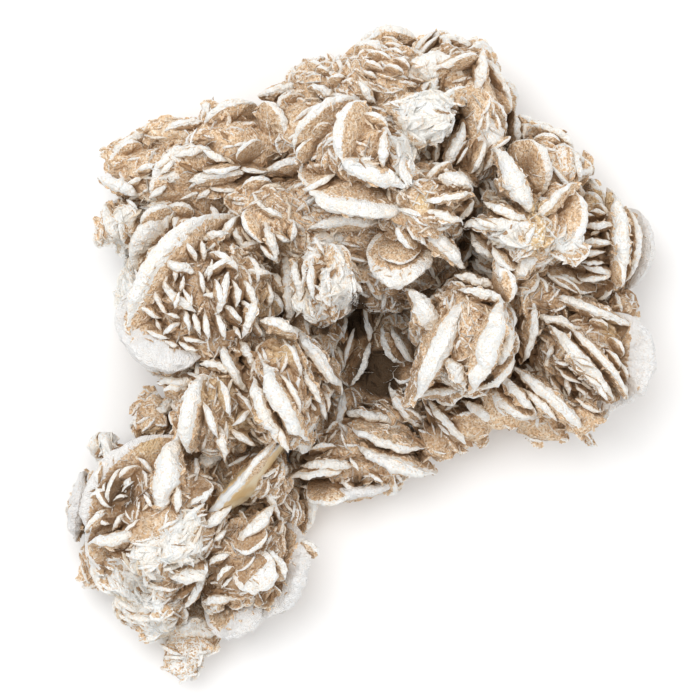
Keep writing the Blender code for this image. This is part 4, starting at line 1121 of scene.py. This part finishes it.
def gypsum_material():
    n = Nodes("sandy gypsum")
    cells = n.add("ShaderNodeTexVoronoi", (("Scale", GRAINS), ("Vector", n.place)))
    parts = n.add("ShaderNodeSeparateColor", (("Color", cells.outputs["Color"]),))
    grain = parts.outputs["Red"]
    other = parts.outputs["Green"]
    grit = n.noise(GRIT, roughness=0.7)
    patch = n.noise(PATCHES)
    region = n.noise(REGIONS, 2.0)
    open_share = n.value("open")
    hollow_shade = n.value("hollow_shade")
    along = n.value("flute")
    grooved = n.math("GREATER_THAN", n.math("ABSOLUTE", along), 0.001)

    sand = n.coats(SAND_MID, (
        (n.remap(grain, 0.25, 1.0), SAND_LIGHT),
        (n.remap(other, 0.62, 1.0, 0.8), SAND_DARK),
        (n.remap(grit, 0.50, 0.36, 0.6), SAND_DARK),
        (n.remap(region, 0.4, 0.62, 0.16), SAND_BROWN),
        (n.remap(n.value("tone"), -1.0, 1.0, 0.0, 0.12), SAND_BROWN),
        # painted shade: the hollows darken to brown, and where the zone is strongest to almost
        # black
        (n.math("MULTIPLY", hollow_shade, 0.85), SAND_BROWN),
        (n.math("MULTIPLY", n.value("amber"), 0.6), SAND_AMBER),
        # painted shade: sand darkens where the place sees little sky
        (n.remap(open_share, 0.75, 0.22, 0.8), PAINTED_CREVICE_SHADE),
        (n.remap(hollow_shade, 0.75, 1.0, 0.8), DEEP_HOLLOW_SHADE)))
    cover = n.ragged(n.value("chalk"), ((patch, 0.3), (grain, 0.3), (grit, 0.4)))
    # chalk thins where the place sees little sky, and in the hollows as part of their painted shade
    for fading in (n.remap(open_share, 0.15, 0.6, start=0.35), n.remap(hollow_shade, 0.6, 1.0, 0.6, 1.0)):
        cover = n.math("MULTIPLY", cover, fading)
    white = n.coats(CHALK, (
        (n.remap(patch, 0.62, 0.38, 0.4), CHALK_WARM),
        # painted shade: chalk dims to a warm tan where the place sees little sky
        (n.remap(open_share, 0.8, 0.35, 0.9), CHALK_IN_PAINTED_SHADE),
        (n.remap(other, 0.7, 1.0, 0.45), SAND_MID),
        (n.math("MULTIPLY", grooved, 0.6), CHALK_COOL)))

    turns = n.math("MULTIPLY", along, 2 * math.pi / GROOVE_PITCH)
    groove = n.math("SINE", n.math("MULTIPLY_ADD", patch, 6.0, turns))
    height = n.math("MULTIPLY_ADD", cells.outputs["Distance"], -0.7, n.math("MULTIPLY", grit, 1.4))
    height = n.math("MULTIPLY_ADD", n.math("MULTIPLY", groove, grooved), 0.15, height)
    return n.finish(n.mix(n.remap(cover, 0.36, 0.52), sand, white), height, 0.8, 0.5,
                    (("Roughness", 0.82), ("Specular IOR Level", 0.3)))


def honey_material():
    n = Nodes("honey gypsum")
    body = n.mix(n.remap(n.noise(CLOUDS), 0.35, 0.65), HONEY_DEEP, HONEY_CLEAR)
    cover = n.ragged(n.value("chalk"), ((n.noise(GRIT), 1.2),))
    return n.finish(n.mix(n.remap(cover, 0.62, 0.9), body, CHALK), n.noise(RIPPLES, 4.0), 0.4, 0.3,
                    (("Roughness", 0.38), ("IOR", 1.52), ("Transmission Weight", 0.3)))


def floor_material():
    material = bpy.data.materials.new("floor")
    material.use_nodes = True
    shader = material.node_tree.nodes["Principled BSDF"]
    shader.inputs["Base Color"].default_value = (*FLOOR_PALE, 1)
    shader.inputs["Roughness"].default_value = 0.9
    shader.inputs["Specular IOR Level"].default_value = 0.1
    return material


# ---------------------------------------------------------------- stage

def add_floor():
    mesh = bpy.data.meshes.new("floor")
    corners = [(x * FLOOR_HALF, y * FLOOR_HALF, 0) for x, y in ((-1, -1), (1, -1), (1, 1), (-1, 1))]
    mesh.from_pydata(corners, [], [(0, 1, 2, 3)])
    mesh.materials.append(floor_material())
    show("floor", mesh)


def add_area_light(name, place, size, power):
    light = bpy.data.lights.new(name, "AREA")
    light.shape = "DISK"
    light.size = size
    light.energy = power
    lamp = show(name, light)
    lamp.location = place
    lamp.rotation_euler = (Vector(AIM) - Vector(place)).to_track_quat("-Z", "Y").to_euler()


def add_light():
    settings = bpy.context.scene.view_settings
    settings.view_transform = "Standard"
    settings.look = "None"
    add_area_light("key", *KEY)
    add_area_light("fill", *FILL)
    world = bpy.data.worlds.new("studio")
    bpy.context.scene.world = world
    world.use_nodes = True
    background = world.node_tree.nodes["Background"]
    background.inputs["Color"].default_value = (1, 1, 1, 1)
    background.inputs["Strength"].default_value = SKY_STRENGTH


def add_camera():
    data = bpy.data.cameras.new("camera")
    data.lens = LENS
    data.sensor_width = SENSOR
    data.clip_end = CLIP_END
    camera = show("camera", data)
    distance = PICTURE_WIDTH * LENS / SENSOR
    camera.location = (0, 0, (REFERENCE_LEVEL + distance) * MM)
    bpy.context.scene.camera = camera


# ---------------------------------------------------------------- assembly

def install(piece, material):
    piece.data.materials.clear()
    piece.data.materials.append(material)
    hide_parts("sand_rose")
    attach(piece, "root")


def set_open(thing, ground):
    """Gives every point of a piece the openness of its place."""
    points, normals = mesh_arrays(thing.data)
    values = ground.openness(points / MM, normals)
    thing.data.attributes["open"].data.foreach_set("value", values.astype(np.float32))


def placed_sets(level_at):
    """The blades that stand at places of their own, by piece."""
    large = []
    honey = []
    for region, rows in RIMS.items():
        for number, row in enumerate(rows):
            place = rim_blade(row, core_level)
            place["white"] = CHALKY.get((region, number), row[5] * WHITE_DEPTH)
            place["flute"] = float((region, number) in GROOVED)
            (honey if (region, number) in HONEY_BLADES else large).append(place)
    dice = random.Random(FLANK_SEED)
    flank = [place for name in LOBES if name not in BARE_LOBES
             for place in flank_blades(name, dice)]
    small = [rim_blade(slender(row), lambda x, y: level_at(x, y) + SMALL_LIFT, SMALL_TILT)
             for row in SMALL_RIMS]
    half = len(large) // 2
    return {"large_blades": stack(large[:half]), "more_large_blades": stack(large[half:]),
            "flank_blades": stack(flank), "placed_blades": stack(small),
            "honey_blades": stack(honey)}


def grown_pieces(names, kind, base, ground, solid, crests, guides, dice, material):
    """Makes the crystals of one kind, shared out over named pieces, and returns them."""
    blades = finish_blades(grow(base, ground, solid, kind, crests, guides, dice), dice)
    amount = len(blades["radius"])
    blades["chalk"] = dice.uniform(*kind["chalk"], amount)
    pieces = []
    for number, name in enumerate(names):
        chosen = np.arange(amount) % len(names) == number
        share = {key: value[chosen] for key, value in blades.items()}
        sheet = fin_sheet(share, kind["steps"], kind["lines"], dice)
        pieces.append(make_mesh(name, *sheet, flat=kind["flat"]))
        install(pieces[-1], material)
    return pieces, blades


def main():
    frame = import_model()
    solid = Ground([surface_of(frame["nodes"]["sand_rose"])])

    def level_at(x, y):
        hit = solid.tree.ray_cast(Vector((x, y, ABOVE_ALL)), Vector((0, 0, -1)))[0]
        return hit.z if hit is not None else core_level(x, y)

    dice = np.random.default_rng(GROWTH_SEED)
    gypsum = gypsum_material()
    sets = placed_sets(level_at)
    pieces = {"core": core_piece(level_at)}
    for number, (name, (rings, spokes, white, belly)) in enumerate(PLACED_PIECES.items()):
        blades = finish_blades(sets[name], dice, white)
        pieces[name] = make_mesh(name, *blade_sheet(blades, rings, spokes,
                                                    BLADE_SEED + SEED_STEP * number, belly))
    ground = Ground([surface_of(piece) for piece in pieces.values()])
    for name, piece in pieces.items():
        set_open(piece, ground)
        install(piece, honey_material() if name == "honey_blades" else gypsum)

    guides = {key: np.concatenate([sets[name][key] for name in GUIDING])
              for key in ("centre", "along", "radius")}
    core = surface_of(pieces["core"])
    (medium,), blades = grown_pieces(("medium_blades",), MEDIUM, Ground([core]), ground, solid,
                                     crests_of(sets.values()), guides, dice, gypsum)
    ground = Ground([(ground.points, ground.triangles), surface_of(medium)])
    base = Ground([core, surface_of(pieces["flank_blades"]), surface_of(medium)])
    faces = Ground([surface_of(pieces[name]) for name in ("large_blades", "more_large_blades")])
    crests = crests_of([*sets.values(), blades])
    for names, kind, under in ((("small_blades_1", "small_blades_2"), SMALL, base),
                               (("slivers_1", "slivers_2"), SLIVER, base),
                               (("crust_1", "crust_2"), CRUST, faces)):
        grown_pieces(names, kind, under, ground, solid, crests, guides, dice, gypsum)

    add_floor()
    add_light()
    add_camera()


main()
